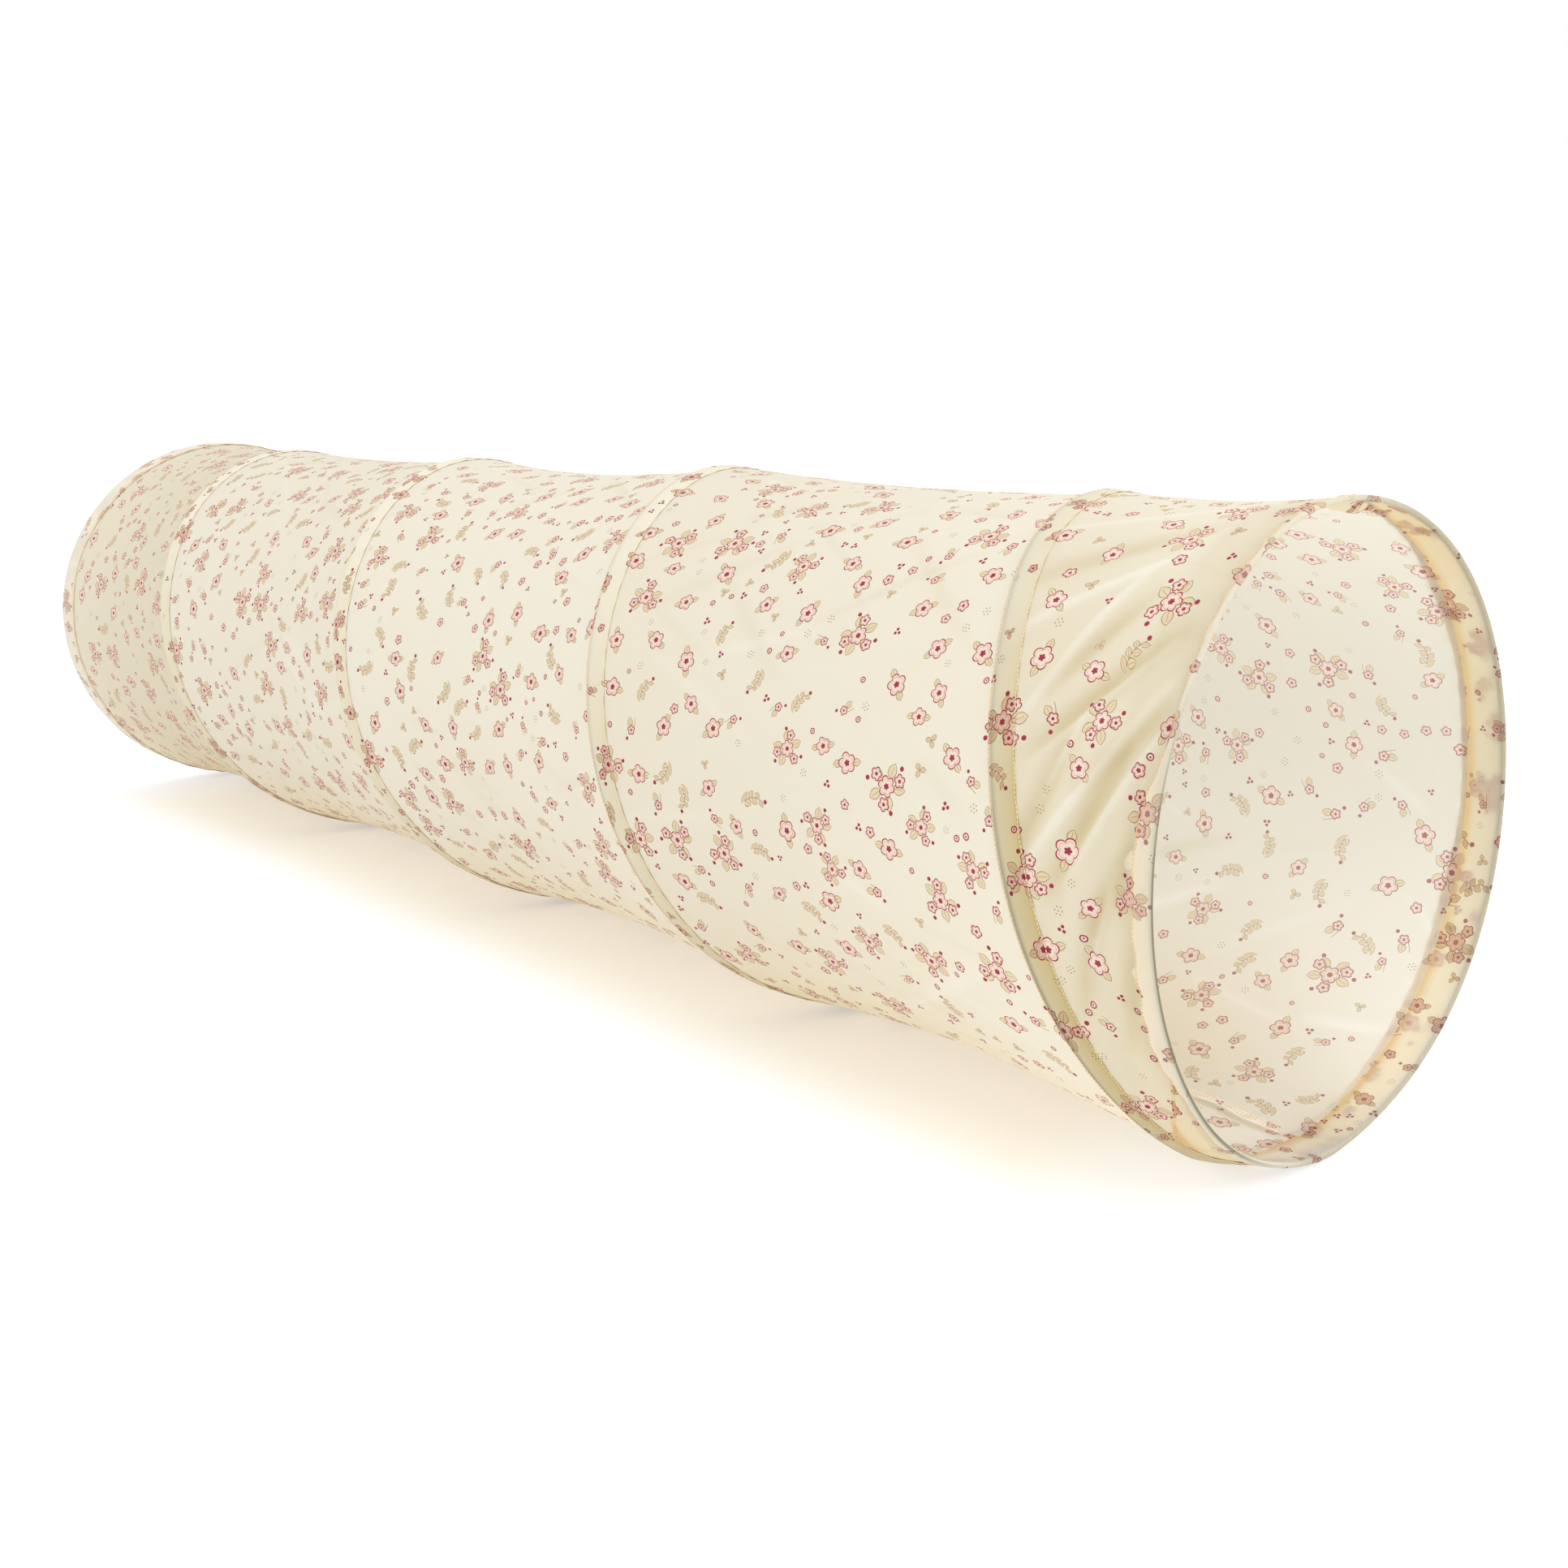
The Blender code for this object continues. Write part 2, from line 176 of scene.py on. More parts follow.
@dataclass
class TubeShape:
    """The open tunnel's shape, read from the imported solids.

    Attributes:
        turns: How many turns the coil makes.
        wire_radius: Half the wire's diameter.
        casing_width: From the coil's wire to its casing's front edge.
        lip_width: From the wire to the casing's rear edge.
        mouth_waves: How far the near hoop stands out from round, as millimetres of the cosine
            and sine of one, two and more times the angle.
        top_places: Places along the tube at which its top is known.
        top_rises: How far the top stands up there, in millimetres.
    """

    turns: int = 4
    wire_radius: float = 1.5 * MM
    casing_width: float = 20 * MM
    lip_width: float = 5.5 * MM
    mouth_waves: tuple[tuple[float, float], ...] = (
        (-2.0, 0.3), (1.5, -9.8), (-0.9, 1.7), (-0.8, 0.2), (-0.1, 0.9)
    )
    top_places: tuple[float, ...] = (-0.9, -0.7, -0.226, 0.22, 0.668)
    top_rises: tuple[float, ...] = (2.0, -3.0, -2.2, 1.7, -4.0)

    # Humps of the near hoop: height in millimetres, then middle and spread in degrees. The
    # coil's have the places too between which each comes in
    HOOP_HUMPS = ((-3.6, 178, 24), (2.5, 0, 13))
    COIL_HUMPS = (
        (6.0, 27, 20, 0.64, 0.80), (6.5, 145, 18, 0.35, 0.60), (4.5, 95, 40, -0.60, -0.88)
    )
    TOP_SPREAD = 45
    BAY_CLOSING = (250, 352)
    FIRST_ANGLE = math.radians(3.75)
    HALF_TURN_CUT = 0.14
    START_CUT = 0.36
    FIRST_HALF = (180, 360)
    START_REACH = (25, 75)

    half_length: float = field(init=False)
    radius: float = field(init=False)
    axis_height: float = field(init=False)
    hem_edge: float = field(init=False)
    hoop_x: float = field(init=False)
    path_radius: float = field(init=False)
    coil_end: float = field(init=False)
    first_angle: float = field(init=False)
    rise: float = field(init=False)

    def __post_init__(self) -> None:
        """Reads the sizes that the solids settle."""
        hem_low, hem_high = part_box("front_hem")
        hoop_low, hoop_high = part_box("front_hoop")
        coil_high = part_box("spring_coil")[1]
        self.half_length = hem_high.x
        self.hem_edge = hem_low.x
        self.radius = (hem_high.z - hem_low.z) / 2
        self.axis_height = (hem_high.z + hem_low.z) / 2
        self.hoop_x = (hoop_high.x + hoop_low.x) / 2
        self.path_radius = (hoop_high.z - hoop_low.z) / 2 - self.wire_radius
        self.coil_end = coil_high.x - self.wire_radius
        self.first_angle = self.FIRST_ANGLE
        self.rise = 2 * self.coil_end / (self.turns * FULL_TURN - 2 * self.first_angle)

    def wire_x(self, angle: Array | float) -> Array:
        """Returns where the coil's wire is along the tube, at an angle along the coil."""
        last = self.turns * FULL_TURN - self.first_angle
        held = np.clip(angle, self.first_angle, last)
        return self.coil_end - self.rise * (held - self.first_angle)

    def angle_at(self, x: float) -> float:
        """Returns the angle along the coil at which its wire has come to x."""
        return self.first_angle + (self.coil_end - x) / self.rise

    def band_width(self, angle: Array) -> Array:
        """Returns the casing's width at an angle along the coil, narrower in its first turn."""
        degrees = np.degrees(angle)
        first_half = 1 - swell(degrees, *self.FIRST_HALF)
        start = 1 - swell(degrees, *self.START_REACH)
        return self.casing_width * (1 - first_half * (self.HALF_TURN_CUT + self.START_CUT * start))

    def out_of_round(self, x: Array, angle: Array) -> Array:
        """Returns how far the tube stands out from round.

        The near hoop is out of round as a whole. From it the shape goes over to the coil's
        first turn, which bulges near the floor and near the top.

        Args:
            x: Places along the tube.
            angle: Angles round it.

        Returns:
            Distances out from a round tube.
        """
        first_turn = np.mod(angle, FULL_TURN)
        wire = self.coil_end - self.rise * np.maximum(first_turn - self.first_angle, 0)
        closing = swell(np.degrees(first_turn), *self.BAY_CLOSING)
        start = np.minimum(wire + (self.hem_edge - wire) * closing, self.hem_edge)
        share = np.clip((x - start) / (self.hoop_x - start), 0, 1)
        hoop = sum(
            cosine * np.cos((count + 1) * angle) + sine * np.sin((count + 1) * angle)
            for count, (cosine, sine) in enumerate(self.mouth_waves)
        )
        for height, middle, spread in self.HOOP_HUMPS:
            hoop = hoop + height * hump(angle, middle, spread)
        coil = np.interp(x, self.top_places, self.top_rises) * hump(angle, 180, self.TOP_SPREAD)
        for height, middle, spread, low, high in self.COIL_HUMPS:
            coil = coil + height * hump(angle, middle, spread) * swell(x, low, high)
        return MM * (share * hoop + (1 - share) * coil)

    def place(self, x: Array, radius: Array, angle: Array) -> Array:
        """Returns points on the tube, which never goes through the floor.

        Args:
            x: Places along the tube.
            radius: Distances from its axis, on a round tube.
            angle: Angles round it.

        Returns:
            An array of points with one more axis than the arrays that came in.
        """
        x, radius, angle = np.broadcast_arrays(x, radius, angle)
        reach = radius + self.out_of_round(x, angle)
        height = self.axis_height + np.maximum(self.out_of_round(x, np.zeros_like(angle)), 0)
        return np.stack([x, -reach * np.sin(angle), height - reach * np.cos(angle)], axis=-1)


class FlowerLayout:
    """Scatters flower motifs over the unrolled cloth and finds the nearest one."""

    SEED = 41
    LEAST_GAP = 3.0 * MM
    TRIES = 40
    NEIGHBOURS = 8
    SCALE_SPREAD = 0.15
    BARE_REACH = 33 * MM

    def __init__(self, around: float, half_length: float) -> None:
        """Throws the motifs, the largest first, where they are clear of the others.

        Args:
            around: The cloth's length round the tube, over which the print repeats.
            half_length: How far the cloth reaches each way along the tube.
        """
        self.around = around
        self.half_length = half_length
        self.rng = random.Random(self.SEED)
        self.centres = np.zeros((0, 2))
        self.reaches = np.zeros(0)
        self.kinds: list[Motif] = []
        self.turns: list[float] = []
        self.scales: list[float] = []
        for kind, scatter in MOTIF_KINDS.items():
            self.scatter(kind, scatter)
        self.tree, self.owner = self.search_tree()
        LOG.info("print: %d motifs", len(self.kinds))

    def scatter(self, kind: Motif, scatter: MotifKind) -> None:
        """Adds the motifs of one kind."""
        count = round(scatter.per_square_metre * self.around * 2 * self.half_length)
        for _ in range(count):
            scale = 1 + self.rng.uniform(-self.SCALE_SPREAD, self.SCALE_SPREAD)
            for _ in range(self.TRIES):
                u = self.rng.uniform(0, self.around)
                v = self.rng.uniform(-self.half_length, self.half_length)
                if self.is_clear(u, v, scatter.reach * scale):
                    self.centres = np.vstack([self.centres, (u, v)])
                    self.reaches = np.append(self.reaches, scatter.reach * scale)
                    self.kinds.append(kind)
                    self.turns.append(self.rng.uniform(0, FULL_TURN))
                    self.scales.append(scale)
                    break

    def is_clear(self, u: float, v: float, reach: float) -> bool:
        """Says whether a circle is clear of every motif thrown so far."""
        across = np.abs(self.centres[:, 0] - u)
        across = np.minimum(across, self.around - across)
        distance = np.hypot(across, self.centres[:, 1] - v)
        return bool(np.all(distance > self.reaches + reach + self.LEAST_GAP))

    def search_tree(self) -> tuple[KDTree, list[int]]:
        """Returns a search tree of the motifs, repeated on both sides of the join."""
        tree = KDTree(3 * len(self.centres))
        owner: list[int] = []
        for side in (-1, 0, 1):
            for index, (u, v) in enumerate(self.centres):
                tree.insert((u + side * self.around, v, 0), len(owner))
                owner.append(index)
        tree.balance()
        return tree, owner

    def nearest(self, u: float, v: float) -> tuple[int, float, float]:
        """Finds the motif whose edge is nearest to a point.

        Returns:
            The motif's index and its centre beside that point.
        """
        found = self.tree.find_n((u, v, 0), self.NEIGHBOURS)
        near = min(found, key=lambda hit: hit[2] - self.reaches[self.owner[hit[1]]])
        return self.owner[near[1]], near[0].x, near[0].y

    def map_faces(self, corners: Array) -> Array:
        """Works out the print map of faces that are given by their corners.

        Args:
            corners: Unrolled places of each face's corners, as faces by corners by two.

        Returns:
            The map's coordinates, in the same layout.
        """
        middles = corners.mean(axis=1)
        wrapped = middles.copy()
        wrapped[:, 0] %= self.around
        shift = middles - wrapped
        hits = [self.nearest(u, v) for u, v in wrapped]
        index = np.array([hit[0] for hit in hits])
        centre = np.array([hit[1:] for hit in hits]) + shift
        turn = np.array(self.turns)[index][:, None]
        scale = MOTIF_CELL * np.array(self.scales)[index][:, None]
        column = np.array([kind.value for kind in self.kinds])[index][:, None]
        local = corners - centre[:, None, :]
        far = np.abs(local).max(axis=(1, 2)) > self.BARE_REACH
        x = (local[..., 0] * np.cos(turn) + local[..., 1] * np.sin(turn)) / scale
        y = (local[..., 1] * np.cos(turn) - local[..., 0] * np.sin(turn)) / scale
        coded = np.stack([x + column + 0.5, y + 0.5], axis=-1)
        coded[far] = (Motif.BARE.value + 0.5, 0.5)
        return coded


class Sheets:
    """Makes cloth sheets from arrays of places on the tube."""

    SPARE_CLOTH = 50 * MM

    def __init__(self, shape: TubeShape) -> None:
        """Keeps the tube's shape and throws the print's motifs.

        Args:
            shape: The open tunnel's shape.
        """
        self.shape = shape
        self.around = FULL_TURN * shape.radius
        self.layout = FlowerLayout(self.around, shape.half_length + self.SPARE_CLOTH)

    def sheet(
        self, name: str, x: Array, radius: Array, angle: Array, cloth_x: Array, outside_in: bool
    ) -> Object:
        """Makes one sheet as a grid, with its two UV maps.

        Args:
            name: The piece's name.
            x: Places along the tube, by rows round the tube and columns across the sheet.
            radius: Distances from the axis, in the same layout.
            angle: Angles round the tube, in the same layout.
            cloth_x: Places along the unrolled cloth, in the same layout.
            outside_in: Whether the columns run so that faces would point at the axis.

        Returns:
            The new piece, with its faces pointing out of the tube.
        """
        rows, columns = x.shape
        points = self.shape.place(x, radius, angle).reshape(-1, 3)
        first = (np.arange(rows - 1)[:, None] * columns + np.arange(columns - 1)).reshape(-1)
        quads = np.stack([first, first + columns, first + columns + 1, first + 1], axis=1)
        if outside_in:
            quads = quads[:, ::-1]
        mesh = bpy.data.meshes.new(name)
        mesh.from_pydata(points.tolist(), [], quads.tolist())
        unrolled = np.stack([angle * self.shape.radius, cloth_x], axis=-1).reshape(-1, 2)
        corners = unrolled[quads]
        self.write_map(mesh, "cloth", corners)
        self.write_map(mesh, "print", self.layout.map_faces(corners))
        mesh.shade_smooth()
        return link_piece(name, mesh)

    @staticmethod
    def write_map(mesh: Mesh, name: str, corners: Array) -> None:
        """Writes one UV map, given as faces by corners by two."""
        layer = mesh.uv_layers.new(name=name)
        layer.data.foreach_set("uv", corners.astype(np.float32).reshape(-1))


def math_operation(name: str, swapped: bool = False) -> Callable[..., Term]:
    """Makes a method of Term that adds a Math node.

    Args:
        name: The node's operation.
        swapped: Whether the term itself comes last.

    Returns:
        The method, which takes the node's other values and returns its result.
    """

    def operate(term: Term, *others: Term | float) -> Term:
        values = (*others, term) if swapped else (term, *others)
        return term.board.math(name, *values)

    return operate


class Term:
    """A value in a node tree, on which arithmetic adds nodes. Masks join with & and |."""

    def __init__(self, board: NodeBoard, socket: NodeSocket) -> None:
        """Keeps the board and the socket that gives the value."""
        self.board = board
        self.socket = socket

    __add__ = math_operation("ADD")
    __sub__ = math_operation("SUBTRACT")
    __rsub__ = math_operation("SUBTRACT", swapped=True)
    __mul__ = __and__ = math_operation("MULTIPLY")
    __truediv__ = math_operation("DIVIDE")
    __rtruediv__ = math_operation("DIVIDE", swapped=True)
    __lt__ = math_operation("LESS_THAN")
    __gt__ = math_operation("GREATER_THAN")
    __or__ = math_operation("MAXIMUM")
    __abs__ = math_operation("ABSOLUTE")
    floor = math_operation("FLOOR")
    fraction = math_operation("FRACT")
    rounded = math_operation("ROUND")
    root = math_operation("SQRT")
    power = math_operation("POWER")
    sine = math_operation("SINE")
    cosine = math_operation("COSINE")
    angle_over = math_operation("ARCTAN2")
    is_near = math_operation("COMPARE")


class NodeBoard:
    """Places nodes in a tree and links them."""

    def __init__(self, tree: NodeTree) -> None:
        """Keeps the tree that the nodes go to."""
        self.tree = tree

    def add(self, kind: str, **settings: object) -> Node:
        """Adds a node and sets its properties."""
        node = self.tree.nodes.new(kind)
        for name, value in settings.items():
            setattr(node, name, value)
        return node

    def feed(self, socket: NodeSocket, value: Term | NodeSocket | float | Colour) -> None:
        """Links a socket to another, or sets its value. A colour gets full alpha."""
        if isinstance(value, Term):
            value = value.socket
        if isinstance(value, NodeSocket):
            self.tree.links.new(value, socket)
        else:
            socket.default_value = (*value, 1) if isinstance(value, tuple) else value

    def fill(self, node: Node, values: dict[str, Term | float | Colour]) -> None:
        """Feeds a node's inputs, given by their names."""
        for name, value in values.items():
            self.feed(node.inputs[name], value)

    def output(self, kind: str, name: str, **settings: object) -> Term:
        """Adds a node and returns one of its outputs."""
        return Term(self, self.add(kind, **settings).outputs[name])

    def math(self, operation: str, *values: Term | float) -> Term:
        """Adds a Math node and returns its result."""
        node = self.add("ShaderNodeMath", operation=operation)
        for socket, value in zip(node.inputs, values):
            self.feed(socket, value)
        return Term(self, node.outputs[0])

    def mix(
        self, share: Term | float, first: Term | Colour, second: Term | Colour, blend: str = "MIX"
    ) -> Term:
        """Mixes two colours and returns the result."""
        node = self.add("ShaderNodeMix", data_type="RGBA", blend_type=blend)
        self.feed(node.inputs["Factor"], share)
        self.feed(node.inputs[6], first)
        self.feed(node.inputs[7], second)
        return Term(self, node.outputs[2])

    def noise(self, vector: Term | NodeSocket, scale: float, detail: float = 2.0) -> Term:
        """Adds a noise texture and returns its value."""
        node = self.add("ShaderNodeTexNoise")
        self.fill(node, {"Vector": vector, "Scale": scale, "Detail": detail})
        return Term(self, node.outputs[0])

    def ramp(self, value: Term, low: float, high: float) -> Term:
        """Returns 0 at the low value and 1 at the high one, eased between them."""
        node = self.add("ShaderNodeMapRange", interpolation_type="SMOOTHSTEP")
        self.fill(node, {"Value": value, "From Min": low, "From Max": high})
        return Term(self, node.outputs[0])

    def split(self, vector: Term | NodeSocket) -> list[Term]:
        """Returns a vector's X, Y and Z."""
        node = self.add("ShaderNodeSeparateXYZ")
        self.feed(node.inputs[0], vector)
        return [Term(self, socket) for socket in node.outputs]

    def length(self, x: Term, y: Term) -> Term:
        """Returns the length of a flat vector."""
        return (x * x + y * y).root()

    def place(self) -> Term:
        """Returns the place in the piece's own space."""
        return self.output("ShaderNodeTexCoord", "Object")

    def attribute(self, name: str) -> Term:
        """Returns one of the values that the piece's points carry."""
        return self.output("ShaderNodeAttribute", "Fac", attribute_name=name)

    def group(self, tree: NodeTree, uv_map: str) -> list[Term]:
        """Adds a node group on one of the piece's UV maps and returns its outputs."""
        node = self.add("ShaderNodeGroup", node_tree=tree)
        self.feed(node.inputs["Vector"], self.output("ShaderNodeUVMap", "UV", uv_map=uv_map))
        return [Term(self, socket) for socket in node.outputs]

    def surface(self, share: Term, first: Node, second: Node) -> None:
        """Gives the material a mix of two shaders."""
        blend = self.add("ShaderNodeMixShader")
        for socket, value in zip(blend.inputs, (share, first.outputs[0], second.outputs[0])):
            self.feed(socket, value)
        self.feed(self.tree.nodes["Material Output"].inputs["Surface"], blend.outputs[0])


def start_material(name: str) -> tuple[Material, NodeBoard, Node]:
    """Returns a new material, the board for its nodes and its Principled shader."""
    material = bpy.data.materials.new(name)
    material.use_nodes = True
    tree = material.node_tree
    return material, NodeBoard(tree), tree.nodes["Principled BSDF"]


def start_group(name: str, **outputs: str) -> tuple[NodeBoard, NodeSocket]:
    """Starts a node group that takes a vector.

    Args:
        name: The group's name.
        outputs: The kind of value of each output, under its name.

    Returns:
        The board for its nodes, and the vector that comes in.
    """
    tree = bpy.data.node_groups.new(name, "ShaderNodeTree")
    tree.interface.new_socket("Vector", in_out="INPUT", socket_type="NodeSocketVector")
    for output, kind in outputs.items():
        tree.interface.new_socket(output, in_out="OUTPUT", socket_type="NodeSocket" + kind)
    board = NodeBoard(tree)
    return board, board.add("NodeGroupInput").outputs[0]


@dataclass(frozen=True)
class PrintColours:
    """The inks of the print."""

    line: Colour = srgb(163, 60, 82)
    petal: Colour = srgb(241, 223, 210)
    contour: Colour = srgb(225, 173, 166)
    leaf_line: Colour = srgb(178, 153, 118)
    leaf: Colour = srgb(228, 209, 176)
    speck: Colour = srgb(150, 142, 100)


@dataclass(frozen=True)
class MotifTable:
    """The sizes of each kind of motif, in millimetres and counts, one per Motif value."""

    main_radii: tuple[float, ...] = (7.8, 4.4, 7.2, 0, 0, 0, 4.0, 2.3, 0, 0)
    main_petals: tuple[float, ...] = (5, 5, 6, 1, 1, 1, 5, 1, 1, 1)
    side_radii: tuple[float, ...] = (0, 0, 4.6, 0, 0, 0, 0, 0, 0, 0)
    leaf_starts: tuple[float, ...] = (5.0, 40, 5.4, 40, 40, 40, 2.2, 40, 0.2, 40)
    leaf_lengths: tuple[float, ...] = (8.2, 1, 11.4, 1, 1, 1, 8.6, 1, 5.0, 1)
    leaf_counts: tuple[float, ...] = (2, 1, 5, 1, 1, 1, 1, 1, 3, 1)
    dot_radii: tuple[float, ...] = (0, 0, 1.7, 1.3, 0.5, 1.7, 1.5, 0, 0, 0)
    dot_distances: tuple[float, ...] = (9, 9, 17.8, 2.0, 2.6, 10.6, 8.4, 9, 9, 9)
    dot_counts: tuple[float, ...] = (3, 3, 3, 3, 6, 1, 1, 3, 3, 3)


class PrintGroup:
    """The node group that draws the motifs from the print map, in millimetres."""

    LINE = 0.4
    RIM = 1.15 * LINE
    CONTOUR = 0.6 * LINE
    CONTOUR_PLACE = 0.74
    LEAF_RIM = 0.85 * LINE
    VEIN = 0.45 * LINE
    VEIN_END = 0.8
    STEM = 0.8 * LINE
    STEM_REACH = 10.8
    STEM_DROP = 1.8
    STEM_BEND = 0.034
    LEAF_STEP = 7.2
    LEAF_SLANT = math.radians(44)
    LEAF_FATNESS = 0.32
    LEAF_TURN = 0.37
    LEAF_COVER = 0.8
    SPRIG_LEAF = 8.4
    SPRIG_SHRINK = 1.1
    SIDE_DISTANCE = 12.2
    SIDE_PETALS = 5.0
    SIDE_COUNT = 3.0
    SIDE_TURN = 0.2
    MIDDLE_SPECK = 0.5
    LOBE_POWER = 0.7
    LOBE_DEPTH = 0.34
    EYE = 0.19
    EYE_SCALLOP = 0.14
    RIMMED_SIZE = 1
    CONTOURED_SIZE = 3

    def __init__(self) -> None:
        """Builds the group once."""
        self.board, self.entry = start_group("flower_print", Ink="Color", Cover="Float")
        self.tree = self.board.tree
        self.column, self.x, self.y = self.read_map()
        self.radius = self.board.length(self.x, self.y)
        self.angle = self.y.angle_over(self.x)
        self.build()

    def read_map(self) -> tuple[Term, Term, Term]:
        """Returns the motif's column and the place from its centre."""
        code_x, code_y, _ = self.board.split(self.entry)
        cell = MOTIF_CELL / MM
        x, y = (code.fraction() * cell - cell / 2 for code in (code_x, code_y))
        return code_x.floor(), x, y

    def table(self, values: tuple[float, ...]) -> Term:
        """Returns the value that a table holds for the motif's column."""
        highest = max(values)
        node = self.board.add("ShaderNodeValToRGB")
        node.color_ramp.interpolation = "CONSTANT"
        elements = node.color_ramp.elements
        while len(elements) < len(values):
            elements.new(1.0)
        for index, value in enumerate(values):
            share = value / highest
            elements[index].position = index / len(values)
            elements[index].color = (share, share, share, 1)
        self.board.feed(node.inputs[0], (self.column + 0.5) / len(values))
        return Term(self.board, node.outputs[0]) * highest

    def is_kind(self, kind: Motif) -> Term:
        """Returns 1 in motifs of one kind, or else 0."""
        return self.column.is_near(float(kind.value), 0.25)

    def fold(self, count: Term | float, phase: float) -> tuple[Term, Term]:
        """Folds the plane into sectors round the motif's centre.

        Args:
            count: Number of sectors.
            phase: Turn of the sectors, as a share of one.

        Returns:
            The place along and across the middle of the sector that a point is in.
        """
        sector = FULL_TURN / count
        turned = self.angle / sector - phase
        inside = (turned - turned.rounded()) * sector
        return self.radius * inside.cosine(), self.radius * inside.sine()

    def flower(
        self, radius: Term, angle: Term, size: Term, petals: Term | float
    ) -> tuple[Term, Term, Term]:
        """Draws a flower with scalloped petals round an eye.

        Returns:
            The masks of its rim and eye, of its whole shape and of the petals' inner contour.
        """
        lobe = abs((angle * petals * 0.5).cosine()).power(self.LOBE_POWER)
        edge = size * (lobe * self.LOBE_DEPTH + (1 - self.LOBE_DEPTH))
        rim = (abs(radius - edge) < self.RIM) & (size > self.RIMMED_SIZE)
        eye = radius < size * (lobe * self.EYE_SCALLOP + self.EYE)
        from_contour = abs(radius - edge * self.CONTOUR_PLACE)
        contour = (from_contour < self.CONTOUR) & (size > self.CONTOURED_SIZE)
        return rim | eye, radius < edge, contour

    def leaf(self, along: Term, across: Term, length: Term) -> tuple[Term, Term]:
        """Draws a pointed leaf with a vein.

        Returns:
            The masks of its lines and of its whole shape.
        """
        share = along / length
        half = share * (1 - share) * (4 * self.LEAF_FATNESS) * length
        off = abs(across)
        shape = (off < half) & (half > 0)
        rim = (abs(off - half) < self.LEAF_RIM) & (half > -self.LINE)
        vein = (off < self.VEIN) & shape & (share < self.VEIN_END)
        return rim | vein, shape

    def sprig(self) -> tuple[Term, Term, Term]:
        """Draws the leaves of a sprig, which sit by turns on both sides of a bent stem.

        Returns:
            The masks of the leaves' lines, of their shapes and of the stem, which sprays have
            the half of.
        """
        is_sprig = self.is_kind(Motif.SPRIG)
        bent = self.y - (self.x * self.x * self.STEM_BEND - self.STEM_DROP)
        from_foot = self.x + self.STEM_REACH + (bent < 0) * (self.LEAF_STEP / 2)
        step = (from_foot / self.LEAF_STEP).floor()
        in_step = from_foot - step * self.LEAF_STEP
        off = abs(bent)
        cosine, sine = math.cos(self.LEAF_SLANT), math.sin(self.LEAF_SLANT)
        along, across = in_step * cosine + off * sine, off * cosine - in_step * sine
        lines, shape = self.leaf(along, across, step * -self.SPRIG_SHRINK + self.SPRIG_LEAF)
        on_stem = step.is_near(1, 1.1) & is_sprig
        stemmed = is_sprig | (self.is_kind(Motif.SPRAY) & (self.x < 0))
        stem = (off < self.STEM) & (abs(self.x) < self.STEM_REACH) & stemmed
        return lines & on_stem, shape & on_stem, stem

    def build(self) -> None:
        """Draws the kinds of motif as one set of layers, sized by the motif's column."""
        board, sizes, inks = self.board, MotifTable(), PrintColours()
        main = self.flower(
            self.radius, self.angle, self.table(sizes.main_radii), self.table(sizes.main_petals)
        )
        along, across = self.fold(self.SIDE_COUNT, self.SIDE_TURN)
        x = along - self.SIDE_DISTANCE
        side = self.flower(
            board.length(x, across), across.angle_over(x), self.table(sizes.side_radii),
            self.SIDE_PETALS,
        )
        along, across = self.fold(self.table(sizes.leaf_counts), self.LEAF_TURN)
        ring_lines, ring_shapes = self.leaf(
            along - self.table(sizes.leaf_starts), across, self.table(sizes.leaf_lengths)
        )
        sprig_lines, sprig_shapes, stem = self.sprig()
        along, across = self.fold(self.table(sizes.dot_counts), 0.0)
        from_dot = board.length(along - self.table(sizes.dot_distances), across)
        is_specks = self.is_kind(Motif.SPECKS)
        middle = is_specks & (self.radius < self.MIDDLE_SPECK)
        dot = (from_dot < self.table(sizes.dot_radii)) | middle

        leaf_lines = ring_lines | sprig_lines | stem
        ink = board.mix(leaf_lines, inks.leaf, inks.leaf_line)
        ink = board.mix(dot, ink, board.mix(is_specks, inks.line, inks.speck))
        cover = leaf_lines | (ring_shapes | sprig_shapes) * self.LEAF_COVER | dot
        for lines, shape, contour in (side, main):
            ink = board.mix(shape, ink, board.mix(contour, inks.petal, inks.contour))
            ink = board.mix(lines, ink, inks.line)
            cover = cover | lines | shape
        board.fill(board.add("NodeGroupOutput"), {"Ink": ink, "Cover": cover})


class WeaveGroup:
    """The node group that gives the height of a plain weave."""

    THREADS_PER_METRE = 2600.0
    SLUBS_PER_METRE = 420.0

    def __init__(self) -> None:
        """Builds the group once."""
        board, entry = start_group("plain_weave", Height="Float")
        self.tree = board.tree
        x, y, _ = board.split(entry)
        turn = self.THREADS_PER_METRE * math.pi
        height = (x * turn).sine() * (y * turn).sine() + board.noise(entry, self.SLUBS_PER_METRE)
        board.fill(board.add("NodeGroupOutput"), {"Height": height})


# Grey-green of the wire behind the cloth, with its shade painted in
WIRE_SHADE_THROUGH_CLOTH = srgb(120, 116, 84)
# Inner face of the cloth: a greyer painted shade, and lighter low down with painted light from the
# floor
CLOTH_INSIDE = srgb(232, 232, 225)
CLOTH_INSIDE_LOW_LIT = srgb(252, 252, 249)
# Painted light from the white floor on the cloth's lowest part, outer and inner face
CLOTH_FLOOR_LIT = srgb(255, 247, 224)
CLOTH_INSIDE_FLOOR_LIT = srgb(255, 255, 252)
# Painted shade colour of cloth that lies double
DOUBLE_CLOTH_SHADE = srgb(213, 194, 137)
# Painted shade on the print where the cloth lies double
BAND_INK_SHADE = srgb(238, 220, 208)


